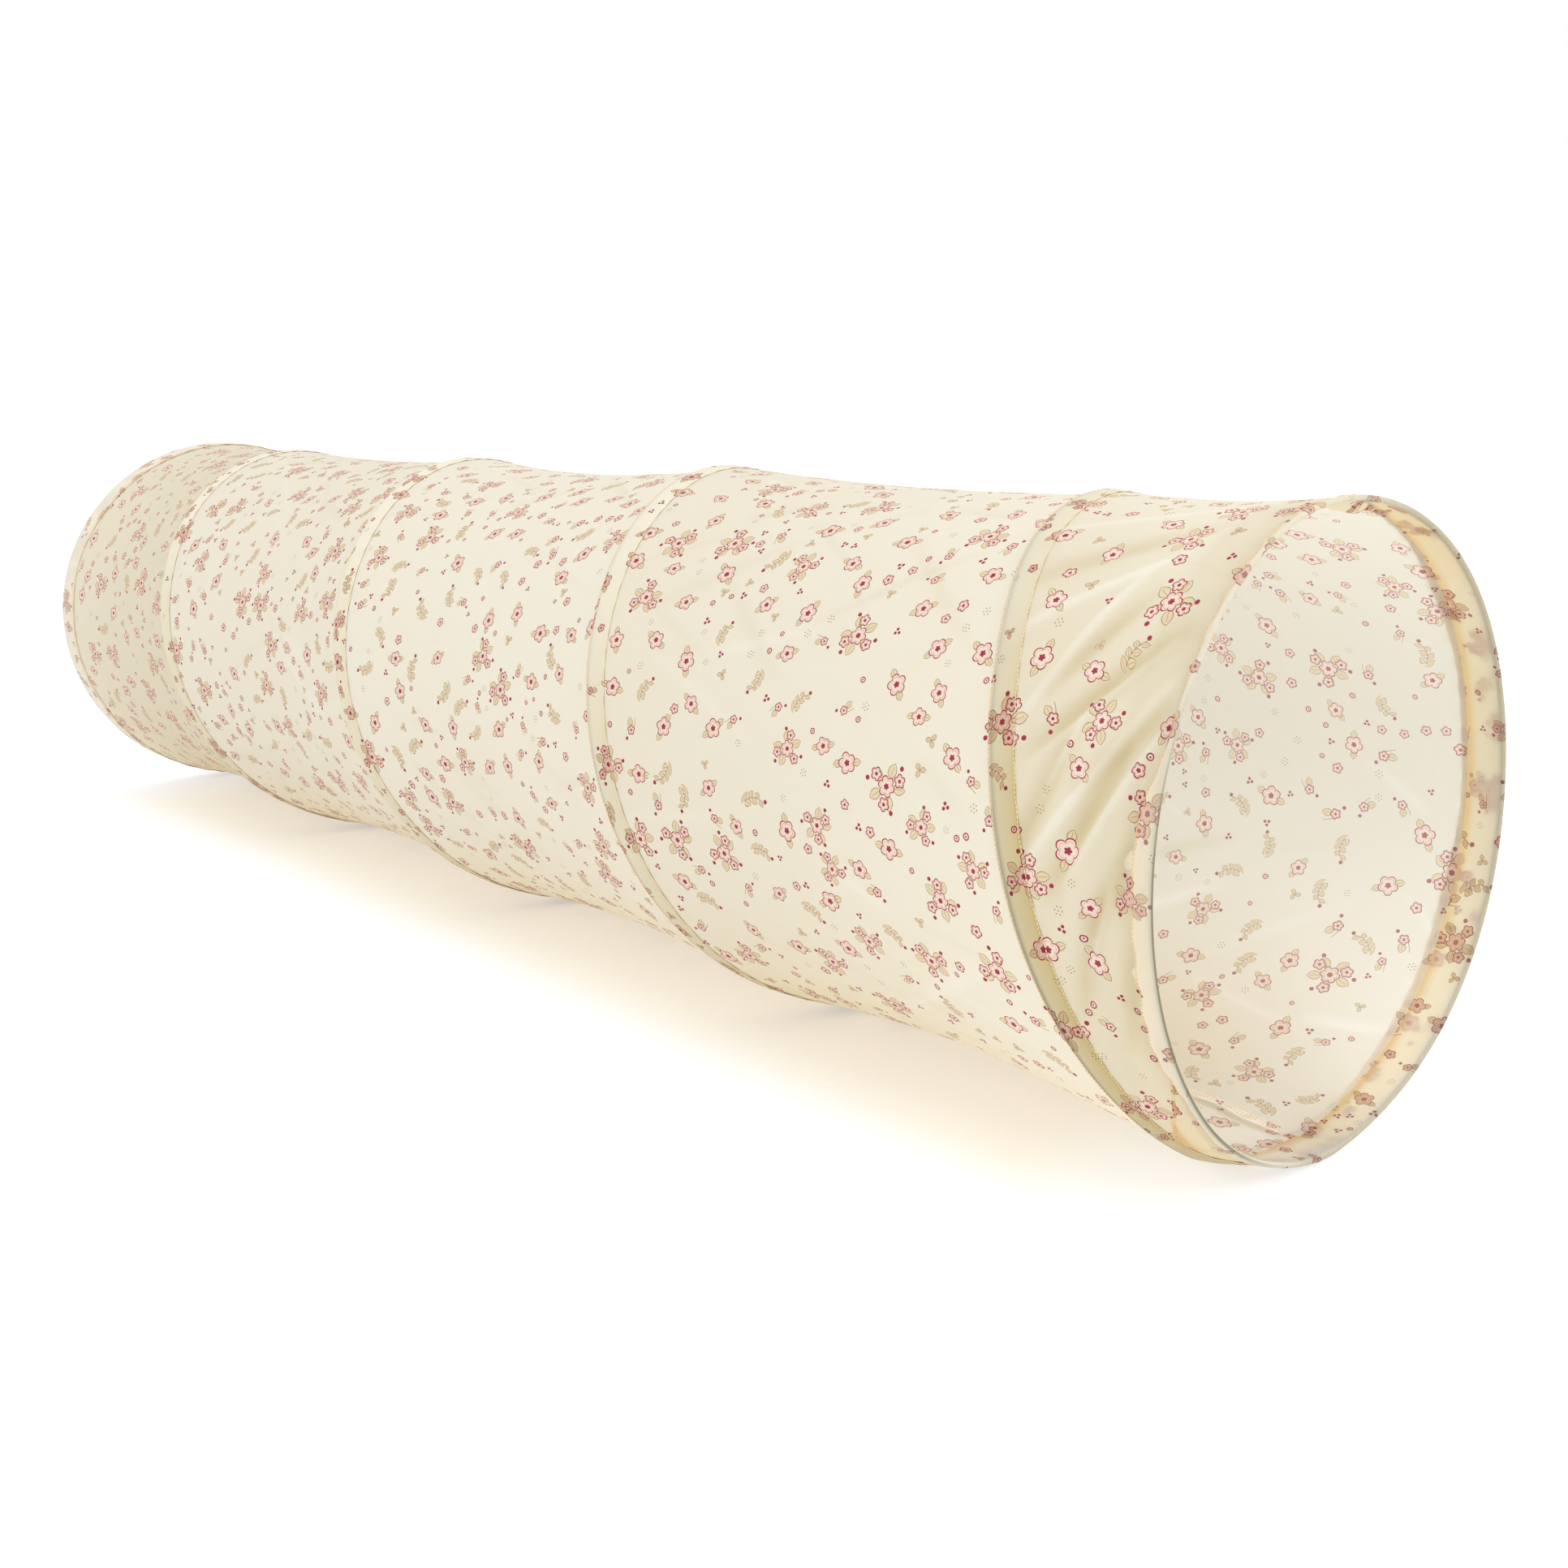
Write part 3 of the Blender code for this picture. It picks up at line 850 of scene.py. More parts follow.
@dataclass(frozen=True)
class ClothFinish:
    """A thin printed cloth that lets light through.

    Attributes:
        name: The material's name.
        colour: The bare cloth's colour.
        warm: The warmer colour that it drifts to low on the tube.
        deep: Its painted shade colour, for double cloth, folds, creases and darker bays.
        ink_outside: How strongly the print covers the cloth's outer face.
        ink_inside: How strongly it shows through on the inner face.
        ink_shade: Painted shade multiplied into the print's colours where the cloth lies double.
        see_through: The share of light that passes through.
        paints_wire_shade: Whether the wire behind the cloth shows as a grey-green line, its shade
            painted in.
    """

    name: str
    colour: Colour
    warm: Colour
    deep: Colour
    ink_outside: float = 1.0
    ink_inside: float = 0.76
    ink_shade: Colour = (1.0, 1.0, 1.0)
    see_through: float = 0.5
    paints_wire_shade: bool = False

    LOW_HEIGHT = 0.30
    LOW_DRIFT = 0.4
    PATCH_SCALE = 5.0
    PATCH_LEVELS = (0.35, 0.75)
    PATCH_DRIFT = 0.3
    INSIDE_SHARE = 0.75
    FLOOR_LIGHT_HEIGHTS = (0.005, 0.12)
    FLOOR_LIGHT_SHARE = 0.8
    WEAVE = {"Strength": 0.12, "Distance": 0.1 * MM}
    SURFACE = {"Roughness": 0.82, "Specular IOR Level": 0.18, "Sheen Weight": 0.08}

    def bare_colour(self, board: NodeBoard, behind: Term) -> Term:
        """Returns the cloth's colour without its print.

        Args:
            board: The board of the material's nodes.
            behind: 1 on the cloth's inner face, or else 0.

        Returns:
            The colour: it drifts low on the tube and in patches, and takes painted light and shade.
        """
        place = board.place()
        height = board.split(place)[2]
        low = 1 - board.ramp(height, 0.0, self.LOW_HEIGHT)
        patches = board.ramp(board.noise(place, self.PATCH_SCALE), *self.PATCH_LEVELS)
        drift = low * self.LOW_DRIFT + patches * self.PATCH_DRIFT
        colour = board.mix(drift, self.colour, self.warm)
        # Painted shade on the inner face, lighter with painted light low on the tube
        inside = board.mix(low, CLOTH_INSIDE, CLOTH_INSIDE_LOW_LIT)
        colour = board.mix(behind * self.INSIDE_SHARE, colour, inside)
        # Painted light from the floor, fading out over the lowest twelve centimetres
        floor_lit = 1 - board.ramp(height, *self.FLOOR_LIGHT_HEIGHTS)
        lit_cloth = board.mix(behind, CLOTH_FLOOR_LIT, CLOTH_INSIDE_FLOOR_LIT)
        colour = board.mix(floor_lit * self.FLOOR_LIGHT_SHARE, colour, lit_cloth)
        # Painted shade marked on the points: folds, creases, double cloth and darker bays
        return board.mix(board.attribute("painted_shade"), colour, self.deep)

    def material(self, print_group: PrintGroup, weave_group: WeaveGroup) -> Material:
        """Returns the cloth's material.

        Args:
            print_group: The group that draws the print.
            weave_group: The group that gives the weave's height.

        Returns:
            A material that reads the piece's own UV maps.
        """
        material, board, shader = start_material(self.name)
        behind = board.output("ShaderNodeNewGeometry", "Backfacing")
        colour = self.bare_colour(board, behind)
        ink, cover = board.group(print_group.tree, "print")
        strength = behind * (self.ink_inside - self.ink_outside) + self.ink_outside
        # Print over the cloth, with painted shade where the cloth lies double
        colour = board.mix(cover * strength, colour, board.mix(1.0, ink, self.ink_shade, "MULTIPLY"))
        # Painted wire shade: the wire seen through the cloth, darkened as its shade
        if self.paints_wire_shade:
            colour = board.mix(board.attribute("wire_shade_line"), colour, WIRE_SHADE_THROUGH_CLOTH)
        bump = board.add("ShaderNodeBump")
        board.fill(bump, {"Height": board.group(weave_group.tree, "cloth")[0], **self.WEAVE})
        board.fill(shader, {"Base Color": colour, **self.SURFACE})
        board.feed(shader.inputs["Normal"], bump.outputs[0])
        through = board.add("ShaderNodeBsdfTranslucent")
        board.fill(through, {"Color": colour})
        share = board.attribute("dense") * -self.see_through + self.see_through
        board.surface(share, shader, through)
        return material


@dataclass(frozen=True)
class SteelFinish:
    """Drawn steel with fine lines and a little dulling.

    Attributes:
        name: The material's name.
        colour: The steel's colour.
        roughness: Its roughness where it is brightest.
    """

    name: str
    colour: Colour
    roughness: float

    GRAIN = (90.0, 4.0)
    DULL_SHADE = 0.62
    DULL_ROUGHNESS = 0.25
    METALLIC = 0.9

    def material(self) -> Material:
        """Returns the steel's material."""
        material, board, shader = start_material(self.name)
        dulling = board.noise(board.place(), *self.GRAIN)
        dull = tuple(self.DULL_SHADE * channel for channel in self.colour)
        board.fill(shader, {
            "Base Color": board.mix(dulling, self.colour, dull),
            "Roughness": dulling * self.DULL_ROUGHNESS + self.roughness,
            "Metallic": self.METALLIC,
        })
        return material


@dataclass(frozen=True)
class ThreadFinish:
    """Twisted sewing thread."""

    name: str
    colour: Colour

    FLECK_SCALE = 900.0
    PALE_SHADE = 1.25
    ROUGHNESS = 0.7

    def material(self) -> Material:
        """Returns the thread's material."""
        material, board, shader = start_material(self.name)
        fleck = board.noise(board.place(), self.FLECK_SCALE)
        pale = tuple(min(1.0, self.PALE_SHADE * channel) for channel in self.colour)
        mottled = board.mix(fleck, self.colour, pale)
        board.fill(shader, {"Base Color": mottled, "Roughness": self.ROUGHNESS})
        return material


# Each cloth: its colour, its warmer colour low on the tube, and its painted shade colour
CLOTH_FINISHES = (
    ClothFinish("panel_cloth", srgb(241, 239, 228), srgb(243, 235, 219), srgb(206, 190, 148)),
    ClothFinish(
        "folded_cloth", srgb(245, 241, 226), srgb(246, 238, 217), DOUBLE_CLOTH_SHADE,
        ink_shade=BAND_INK_SHADE, see_through=0.34, paints_wire_shade=True,
    ),
    ClothFinish(
        "hem_cloth", srgb(250, 246, 230), srgb(251, 243, 222), srgb(231, 203, 139),
        ink_shade=BAND_INK_SHADE, see_through=0.6, paints_wire_shade=True,
    ),
    ClothFinish("seam_cloth", srgb(244, 230, 206), srgb(244, 226, 198), DOUBLE_CLOTH_SHADE, ink_outside=0.5),
)
OTHER_FINISHES = (
    SteelFinish("spring_steel", srgb(150, 154, 140), 0.38),
    SteelFinish("ferrule_steel", srgb(182, 184, 184), 0.3),
    ThreadFinish("ochre_thread", srgb(230, 182, 122)),
    ThreadFinish("pale_thread", srgb(238, 218, 182)),
)


@dataclass
class Wardrobe:
    """The materials that the pieces share."""

    panel: Material
    band: Material
    hem: Material
    seam: Material
    wire: Material
    ferrule: Material
    thread: Material
    pale_thread: Material

    @classmethod
    def make(cls) -> Wardrobe:
        """Builds each finish once."""
        groups = PrintGroup(), WeaveGroup()
        cloths = [finish.material(*groups) for finish in CLOTH_FINISHES]
        return cls(*cloths, *(finish.material() for finish in OTHER_FINISHES))


@dataclass
class Crease:
    """One crease in the cloth, as a line between two places on the unrolled cloth.

    Attributes:
        start: Angle round the tube and place along it, at one end.
        end: The same at the other end.
        width: Half the width of its slope.
        depth: How far it stands in, or out where negative.
    """

    start: tuple[float, float]
    end: tuple[float, float]
    width: float
    depth: float


class CreaseField:
    """Sums creases over a panel."""

    REACHES = (25, 95)
    SLANTS = (0.15, 0.75)
    WIDTHS = (2.5, 8)
    DEPTHS = (0.3, 1.3)
    BAY_SHARES = (0.1, 0.9)
    FADE_POWER = 0.7

    def __init__(self, shape: TubeShape) -> None:
        """Keeps the tube's shape, and starts with smooth cloth."""
        self.shape = shape
        self.creases: list[Crease] = []

    def drop(self, x: Array, angle: Array) -> Array:
        """Returns how far the creases move the cloth in at each place."""
        u = angle * self.shape.radius
        total = np.zeros_like(x)
        for crease in self.creases:
            start = np.array([crease.start[0] * self.shape.radius, crease.start[1]])
            line = np.array([crease.end[0] * self.shape.radius, crease.end[1]]) - start
            length = float(np.hypot(*line))
            along = ((u - start[0]) * line[0] + (x - start[1]) * line[1]) / length**2
            across = ((u - start[0]) * line[1] - (x - start[1]) * line[0]) / length
            ends = np.clip(along, 0, 1)
            fade = np.sin(math.pi * ends) ** self.FADE_POWER
            total += crease.depth * fade * np.exp(-((across / crease.width) ** 2))
        return total

    def scatter(self, rng: random.Random, count: int, bay: int, first: float, last: float) -> None:
        """Adds faint tension creases, which cross a bay at a slant.

        Args:
            rng: The source of chance.
            count: How many creases.
            bay: The bay that they lie in, from 0 at the near mouth.
            first: Lowest angle round the tube.
            last: Highest angle round the tube.
        """
        pitch = self.shape.rise * FULL_TURN
        for _ in range(count):
            angle = rng.uniform(first, last)
            wire = float(self.shape.wire_x(angle + bay * FULL_TURN))
            middle = wire + rng.uniform(*self.BAY_SHARES) * pitch
            reach = rng.uniform(*self.REACHES) * MM
            slant = rng.choice((-1, 1)) * rng.uniform(*self.SLANTS)
            half_angle = reach * math.sin(slant) / self.shape.radius
            half_x = reach * math.cos(slant)
            start, end = ((angle + way * half_angle, middle + way * half_x) for way in (-1, 1))
            width = rng.uniform(*self.WIDTHS) * MM
            depth = rng.choice((-1, 1)) * rng.uniform(*self.DEPTHS) * MM
            self.creases.append(Crease(start, end, width, depth))


class StitchRow:
    """Copies one modelled stitch along a line."""

    LENGTH = 2.3 * MM
    STEP = 3.2 * MM
    THICKNESS = 0.55 * MM
    DIP = 0.7 * THICKNESS
    SIDES = 6

    def __init__(self) -> None:
        """Models the stitch once: a short thread that dips into the cloth at both ends."""
        bpy.ops.object.select_all(action="DESELECT")
        bpy.ops.mesh.primitive_cylinder_add(
            vertices=self.SIDES, radius=self.THICKNESS / 2, depth=self.LENGTH,
            end_fill_type="TRIFAN", rotation=(0, math.pi / 2, 0),
        )
        stitch = bpy.context.active_object
        bpy.ops.object.transform_apply(location=False, rotation=True, scale=True)
        bpy.ops.object.mode_set(mode="EDIT")
        bpy.ops.mesh.select_all(action="SELECT")
        bpy.ops.mesh.bisect(plane_co=(0, 0, 0), plane_no=(1, 0, 0))
        bpy.ops.object.mode_set(mode="OBJECT")
        for vertex in stitch.data.vertices:
            vertex.co.z -= self.DIP * (2 * vertex.co.x / self.LENGTH) ** 2
        self.points = np.array([vertex.co[:] for vertex in stitch.data.vertices])
        self.faces = [tuple(face.vertices) for face in stitch.data.polygons]
        bpy.data.objects.remove(stitch)

    def sew(self, name: str, path: Array, outward: Array) -> Object:
        """Sews a row of stitches.

        Args:
            name: The piece's name.
            path: Points along the row, close together.
            outward: The direction out of the cloth at each point.

        Returns:
            The new piece.
        """
        steps = np.linalg.norm(np.diff(path, axis=0), axis=1)
        run = np.concatenate([[0], np.cumsum(steps)])
        count = int(run[-1] // self.STEP)
        places = (np.arange(count) + 0.5) * self.STEP

        def at(where: Array, values: Array) -> Array:
            """Returns the values at places along the row."""
            return np.stack([np.interp(where, run, values[:, axis]) for axis in range(3)], axis=1)

        centre, up = at(places, path), at(places, outward)
        along = at(places + self.LENGTH / 2, path) - centre
        along /= np.linalg.norm(along, axis=1)[:, None]
        up -= along * (up * along).sum(axis=1)[:, None]
        up /= np.linalg.norm(up, axis=1)[:, None]
        side = np.cross(up, along)
        local = self.points
        placed = (
            centre[:, None, :] + local[None, :, :1] * along[:, None, :]
            + local[None, :, 1:2] * side[:, None, :] + local[None, :, 2:] * up[:, None, :]
        ).reshape(-1, 3)
        faces = [
            tuple(corner + stitch * len(local) for corner in face)
            for stitch in range(count)
            for face in self.faces
        ]
        mesh = bpy.data.meshes.new(name)
        mesh.from_pydata(placed.tolist(), [], faces)
        mesh.shade_smooth()
        return link_piece(name, mesh)


@dataclass
class Workshop:
    """What the sub-assemblies share."""

    shape: TubeShape
    sheets: Sheets
    wardrobe: Wardrobe
    stitches: StitchRow

    CLOSED_GAP = 3.5 * MM
    CLOSED_TUCK = 4 * MM

    def dress(self, piece: Object, material: Material, body: Body, slot: Slot, *nodes: str) -> None:
        """Gives a piece its material and its body, and hides the nodes that it stands for."""
        piece.data.materials.append(material)
        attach(piece, body.value)
        if nodes:
            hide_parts(*nodes)
        LOG.info("%s: %d faces on %s", piece.name, len(piece.data.polygons), body.value)

    def gather(self, piece: Object) -> None:
        """Gives a soft piece its own copy of its mesh."""
        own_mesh(piece)

    def sew(
        self, name: str, line: tuple[Array, Array, Array], lift: float, thread: Material, body: Body
    ) -> Object:
        """Sews a row of stitches onto a sheet.

        Args:
            name: The row's name.
            line: The row's places along the tube, radii and angles.
            lift: How far it stands out of the cloth, or in where negative.
            thread: The thread's material.
            body: The body that it moves with.

        Returns:
            The row, dressed.
        """
        x, radius, angle = line
        out = self.shape.place(x, radius + MM, angle) - self.shape.place(x, radius, angle)
        path = self.shape.place(x, radius + lift, angle)
        row = self.stitches.sew(name, path, out * np.sign(lift))
        self.dress(row, thread, body, Slot.SEAM)
        return row


@dataclass
class SpringWire:
    """The two hoops and the coil of round steel wire.

    Attributes:
        shop: What the sub-assemblies share.
        sides: Sides of the wire's section.
        steps_per_turn: Sections in a turn.
    """

    shop: Workshop
    sides: int = 12
    steps_per_turn: int = 128

    END_TURN = math.radians(2)
    SHARP_EDGE = math.radians(50)

    def bend(self, name: str, x: Array, angle: Array, closed: bool) -> Object:
        """Bends one wire round the tube.

        The path is a curve with a round bevel, turned into a mesh. An open wire has flat ends.

        Args:
            name: The piece's name.
            x: Places of the wire's centre along the tube.
            angle: Angles of the wire's centre round it.
            closed: Whether the wire's ends are joined.

        Returns:
            The new piece.
        """
        shape = self.shop.shape
        centres = shape.place(x, shape.path_radius, angle)
        bpy.ops.object.select_all(action="DESELECT")
        bpy.ops.curve.primitive_bezier_circle_add(radius=1)
        curve = bpy.context.active_object
        curve.name = name
        curve.data.splines.clear()
        spline = curve.data.splines.new("POLY")
        spline.points.add(len(centres) - 1)
        for point, centre in zip(spline.points, centres):
            point.co = (*centre, 1)
        spline.use_cyclic_u = closed
        curve.data.dimensions = "3D"
        curve.data.bevel_depth = shape.wire_radius
        curve.data.bevel_resolution = self.sides // 4
        curve.data.use_fill_caps = not closed
        bpy.ops.object.convert(target="MESH")
        piece = bpy.context.active_object
        piece.data.name = name
        bpy.ops.object.shade_smooth_by_angle(angle=self.SHARP_EDGE)
        return piece

    def build(self) -> None:
        """Makes both hoops and the coil."""
        shape = self.shop.shape
        round_angles = np.linspace(0, FULL_TURN, self.steps_per_turn, endpoint=False)
        for node, x, body in (
            ("front_hoop", shape.hoop_x, Body.FRONT), ("rear_hoop", -shape.hoop_x, Body.REAR)
        ):
            hoop = self.bend(node + "_wire", np.full_like(round_angles, x), round_angles, True)
            self.shop.dress(hoop, self.shop.wardrobe.wire, body, Slot.WIRE, node)
        last = shape.turns * FULL_TURN + self.END_TURN
        angles = np.linspace(-self.END_TURN, last, shape.turns * self.steps_per_turn)
        coil = self.bend("coil_wire", shape.wire_x(angles), angles, False)
        self.shop.dress(coil, self.shop.wardrobe.wire, Body.REAR, Slot.WIRE, "spring_coil")
        self.shop.gather(coil)
        for node in ("front_ferrule", "rear_ferrule"):
            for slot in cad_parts[node].material_slots:
                slot.material = self.shop.wardrobe.ferrule


# Shares of the near hem's legs that are rolled out of sight, each with the degrees round
# the mouth at which it comes in, is full, begins to fade and ends
OUTER_CUTS = ((0.68, 0.5, 7, 165, 200), (0.27, 103, 117, 165, 200), (0.2, 1, 8, 50, 66))
INNER_CUTS = ((0.8, 34, 60, 165, 200), (0.15, 103, 117, 165, 200))
FULLY_ROLLED = 0.3
TUCKED_SIDE = (26, 38, 350, 359)


def cut_away(angle: Array, cuts: tuple[tuple[float, ...], ...]) -> Array:
    """Returns how much of a leg of the near hem is rolled out of sight at each angle."""
    return sum(share * near_side(angle, *reach) for share, *reach in cuts)


def tucked_leg(angle: Array) -> Array:
    """Returns 1 where the near hem's outer leg goes on under the wedge panel, and 0 elsewhere."""
    rolled = np.clip(cut_away(angle, OUTER_CUTS) / FULLY_ROLLED, 0, 1)
    return rolled * near_side(angle, *TUCKED_SIDE)


@dataclass
class MouthHem:
    """The folded hem of one mouth, with the hoop in its fold.

    A section has stations from the outer leg's edge, over the fold, to the inner leg's edge.

    Attributes:
        shop: What the sub-assemblies share.
        end: 1 at the near mouth, or -1 at the far one.
        rows: Sections round the mouth.
        fold_radius: Radius of the fold round the hoop.
        pucker: Height of the waves along the sewn edge.
        pucker_count: Waves round the mouth.
    """

    shop: Workshop
    end: int
    rows: int = 432
    fold_radius: float = 2.0 * MM
    pucker: float = 0.9 * MM
    pucker_count: int = 61

    LEG_STATIONS = 9
    FOLD_STEPS = 8
    EDGE_SWAY = 1.4 * MM
    OUTER_SLOPE = 0.7 * MM
    INNER_RISE = 2.9 * MM
    OPEN_DROP = 0.3 * MM
    FERRULE_SPREAD = 4.5
    FERRULE_BULGE = (0.5 * MM, 0.6 * MM)
    TUCK_DROPS = (10.0 * MM, 2.8 * MM, 0.0)
    TUCK_BEND = 1.06
    TUCK_CLEAR = 0.66
    # Painted shade line of the wire over the fold: stations, and its strength at each
    WIRE_SHADE_PROFILE = ((9, 11, 12, 14, 15), (0, 0.35, 1, 1, 0))
    # Painted shade of the inner leg, deeper towards the sewn edge: shares of the width, and shade
    INNER_TONES = ((0, 0.5, 0.66, 0.76, 1), (0.08, 0.06, 0.14, 0.66, 0.56))
    LAST_OUTSIDE = 16
    OUTSIDE_FADE = 3
    THREAD_LIFT = 0.25 * MM
    # How far past the coil's wire the legs part, over what they close, and how far before it
    OPEN_PAST, OPEN_FADE, OPEN_BEFORE = (math.radians(degrees) for degrees in (6, 8, 4))
    # How far and how often the puckers' phase drifts
    PUCKER_DRIFT = (1.3, 7)
    # Share, count and phase of the slow waves of the sewn edge
    SWAYS = ((1.0, 5, 0.6), (0.6, 11, 2.0))
    PUCKER_ALONG = 0.5
    PUCKER_OUT = 0.45
    INNER_STEEPNESS = 1.8
    # Strength of the painted wire shade everywhere, and more on the near hem's near side, where the
    # wire is in shadow, in degrees
    WIRE_SHADE_SEEN = (0.08, 0.77)
    WIRE_SHADE_SIDE = (8, 40, 92, 130)
    NEAR_DENSE = 0.55
    DENSE_SIDE = (2, 20, 165, 200)
    FAR_DENSE = 0.6
    # Painted shade near the top of the mouth, on the near hem's outer leg and fold, and on the far hem
    TOP_SHADE = 0.3
    TOP_SIDE = (160, 178, 205, 240)
    OUTER_SHADE = 0.3
    FAR_TONES = (0.1, 0.12)

    def opening(self, angle: Array) -> Array:
        """Returns 1 where the coil's wire passes between the hem's legs, and 0 elsewhere."""
        shape = self.shop.shape
        reach = shape.angle_at(shape.hem_edge) + self.OPEN_PAST
        from_bottom = np.mod(self.end * angle, FULL_TURN)
        inside = (reach - from_bottom) / self.OPEN_FADE
        before = (from_bottom - (FULL_TURN - self.OPEN_BEFORE)) / self.OPEN_BEFORE
        return np.clip(np.maximum(inside, before), 0, 1)

    def profile(self, angle: Array) -> tuple[Array, Array, Array]:
        """Works out the hem's section at each angle.

        Args:
            angle: Angles round the tube.

        Returns:
            Distances in from the mouth, radii and places on the unrolled cloth, each as
            angles by stations.
        """
        shape = self.shop.shape
        centre_in = shape.half_length - shape.hoop_x
        leg = shape.half_length - shape.hem_edge - centre_in
        outer, inner = shape.path_radius + self.fold_radius, shape.path_radius - self.fold_radius
        near = self.end > 0
        short, inner_short = (cut_away(angle, cuts) * near for cuts in (OUTER_CUTS, INNER_CUTS))
        tucked = tucked_leg(angle) * near
        opened = self.opening(angle)
        bulge = hump(angle, 0, self.FERRULE_SPREAD)
        far, often = self.PUCKER_DRIFT
        wave = self.pucker * np.sin(self.pucker_count * angle + far * np.sin(often * angle))
        slow = sum(size * np.sin(count * angle + phase) for size, count, phase in self.SWAYS)
        sway = self.EDGE_SWAY * slow + self.PUCKER_ALONG * wave
        stations = []
        shares = np.linspace(1, 0, self.LEG_STATIONS, endpoint=False)
        stretch = 1 + (self.LEG_STATIONS / (self.LEG_STATIONS - 2) - 1) * tucked
        for station, share in enumerate(shares):
            shown = share * stretch * (1 - short)
            if station < 2:
                beneath = (1, self.TUCK_BEND - short)[station]
                shown = share * (1 - short) * (1 - tucked) + beneath * tucked
            reach = centre_in + leg * shown
            edge = np.minimum(share * stretch, 1) ** 3
            level = outer - self.TUCK_DROPS[min(station, 2)] * tucked - self.OUTER_SLOPE * share
            stations.append((reach + edge * sway, level + edge * self.PUCKER_OUT * wave, reach))
        for step in range(self.FOLD_STEPS + 1):
            turn = math.pi * step / self.FOLD_STEPS
            along, across = (self.fold_radius + size * bulge for size in self.FERRULE_BULGE)
            cloth = centre_in - self.fold_radius * (turn + 0 * angle)
            level = shape.path_radius + across * math.cos(turn)
            stations.append((centre_in - along * math.sin(turn), level, cloth))
        for share in shares[::-1]:
            reach = centre_in + leg * share * (1 - inner_short)
            closed = inner + self.INNER_RISE * min(1, self.INNER_STEEPNESS * share)
            level = closed + (inner - self.OPEN_DROP - closed) * opened
            level = level - self.FERRULE_BULGE[1] * bulge * (1 - share)
            edge = share**3
            stations.append((reach + edge * sway, level + edge * self.PUCKER_OUT * wave, -reach))
        return tuple(np.stack(part, axis=1) for part in zip(*stations))

    def mark_looks(self, hem: Object, inward: Array, angles: Array) -> None:
        """Marks the painted wire shade, how dense the hem is, and its painted shade.

        Args:
            hem: The hem.
            inward: Distances in from the mouth, as angles by stations.
            angles: Angles round the tube, in the same layout.
        """
        station = np.arange(inward.shape[1])
        near = self.end > 0
        # Painted shade line of the wire, stronger on the near hem's near side
        least, more = self.WIRE_SHADE_SEEN
        seen = least + more * near_side(angles, *self.WIRE_SHADE_SIDE) * near
        mark(hem, "wire_shade_line", seen * np.interp(station, *self.WIRE_SHADE_PROFILE))
        tail = tucked_leg(angles) * (station == 0) * near
        width = self.shop.shape.half_length - self.shop.shape.hem_edge
        sewn = np.clip(inward / width, 0, 1)
        if near:
            faded = self.LAST_OUTSIDE + self.OUTSIDE_FADE
            outside = np.interp(station, (self.LAST_OUTSIDE, faded), (1, 0))
            dense = self.NEAR_DENSE * near_side(angles, *self.DENSE_SIDE) * outside
            # Painted shade, deeper towards the sewn edge and near the top of the mouth
            top = self.TOP_SHADE * near_side(angles, *self.TOP_SIDE)
            inner_tone = np.maximum(np.interp(sewn, *self.INNER_TONES), top)
            painted_shade = np.where(station > self.LAST_OUTSIDE, inner_tone, self.OUTER_SHADE)
        else:
            dense = np.full(inward.shape, self.FAR_DENSE)
            painted_shade = self.FAR_TONES[0] + self.FAR_TONES[1] * sewn
        mark(hem, "dense", dense * (1 - tail) - self.TUCK_CLEAR * tail)
        mark(hem, "painted_shade", painted_shade * (1 - tail))

    def build(self) -> None:
        """Makes the hem and its stitches."""
        shape, shop = self.shop.shape, self.shop
        side = "front" if self.end > 0 else "rear"
        body = Body.FRONT if self.end > 0 else Body.REAR
        angle = np.linspace(0, FULL_TURN, self.rows + 1)
        inward, radius, cloth = self.profile(angle)
        x, cloth_x = (self.end * (shape.half_length - part) for part in (inward, cloth))
        angles = np.broadcast_to(angle[:, None], x.shape)
        hem = shop.sheets.sheet(side + "_folded_hem", x, radius, angles, cloth_x, self.end < 0)
        self.mark_looks(hem, inward, angles)
        close_ring(hem)
        shop.dress(hem, shop.wardrobe.hem, body, Slot.CASING, side + "_hem")
        # Where the leg goes on under the wedge panel, its stitches sit between two later stations
        moved = tucked_leg(angle) * (self.end > 0)
        outer = [
            part[:, 1] + (0.7 * part[:, 2] + 0.3 * part[:, 3] - part[:, 1]) * moved
            for part in (x, radius)
        ]
        inner = [part[:, -2] for part in (x, radius)]
        thread, row_name = shop.wardrobe.thread, side + "_hem_stitches_"
        rows = [
            shop.sew(row_name + label, (*line, angle), lift, thread, body)
            for label, line, lift in (
                ("outer", outer, self.THREAD_LIFT), ("inner", inner, -self.THREAD_LIFT)
            )
        ]


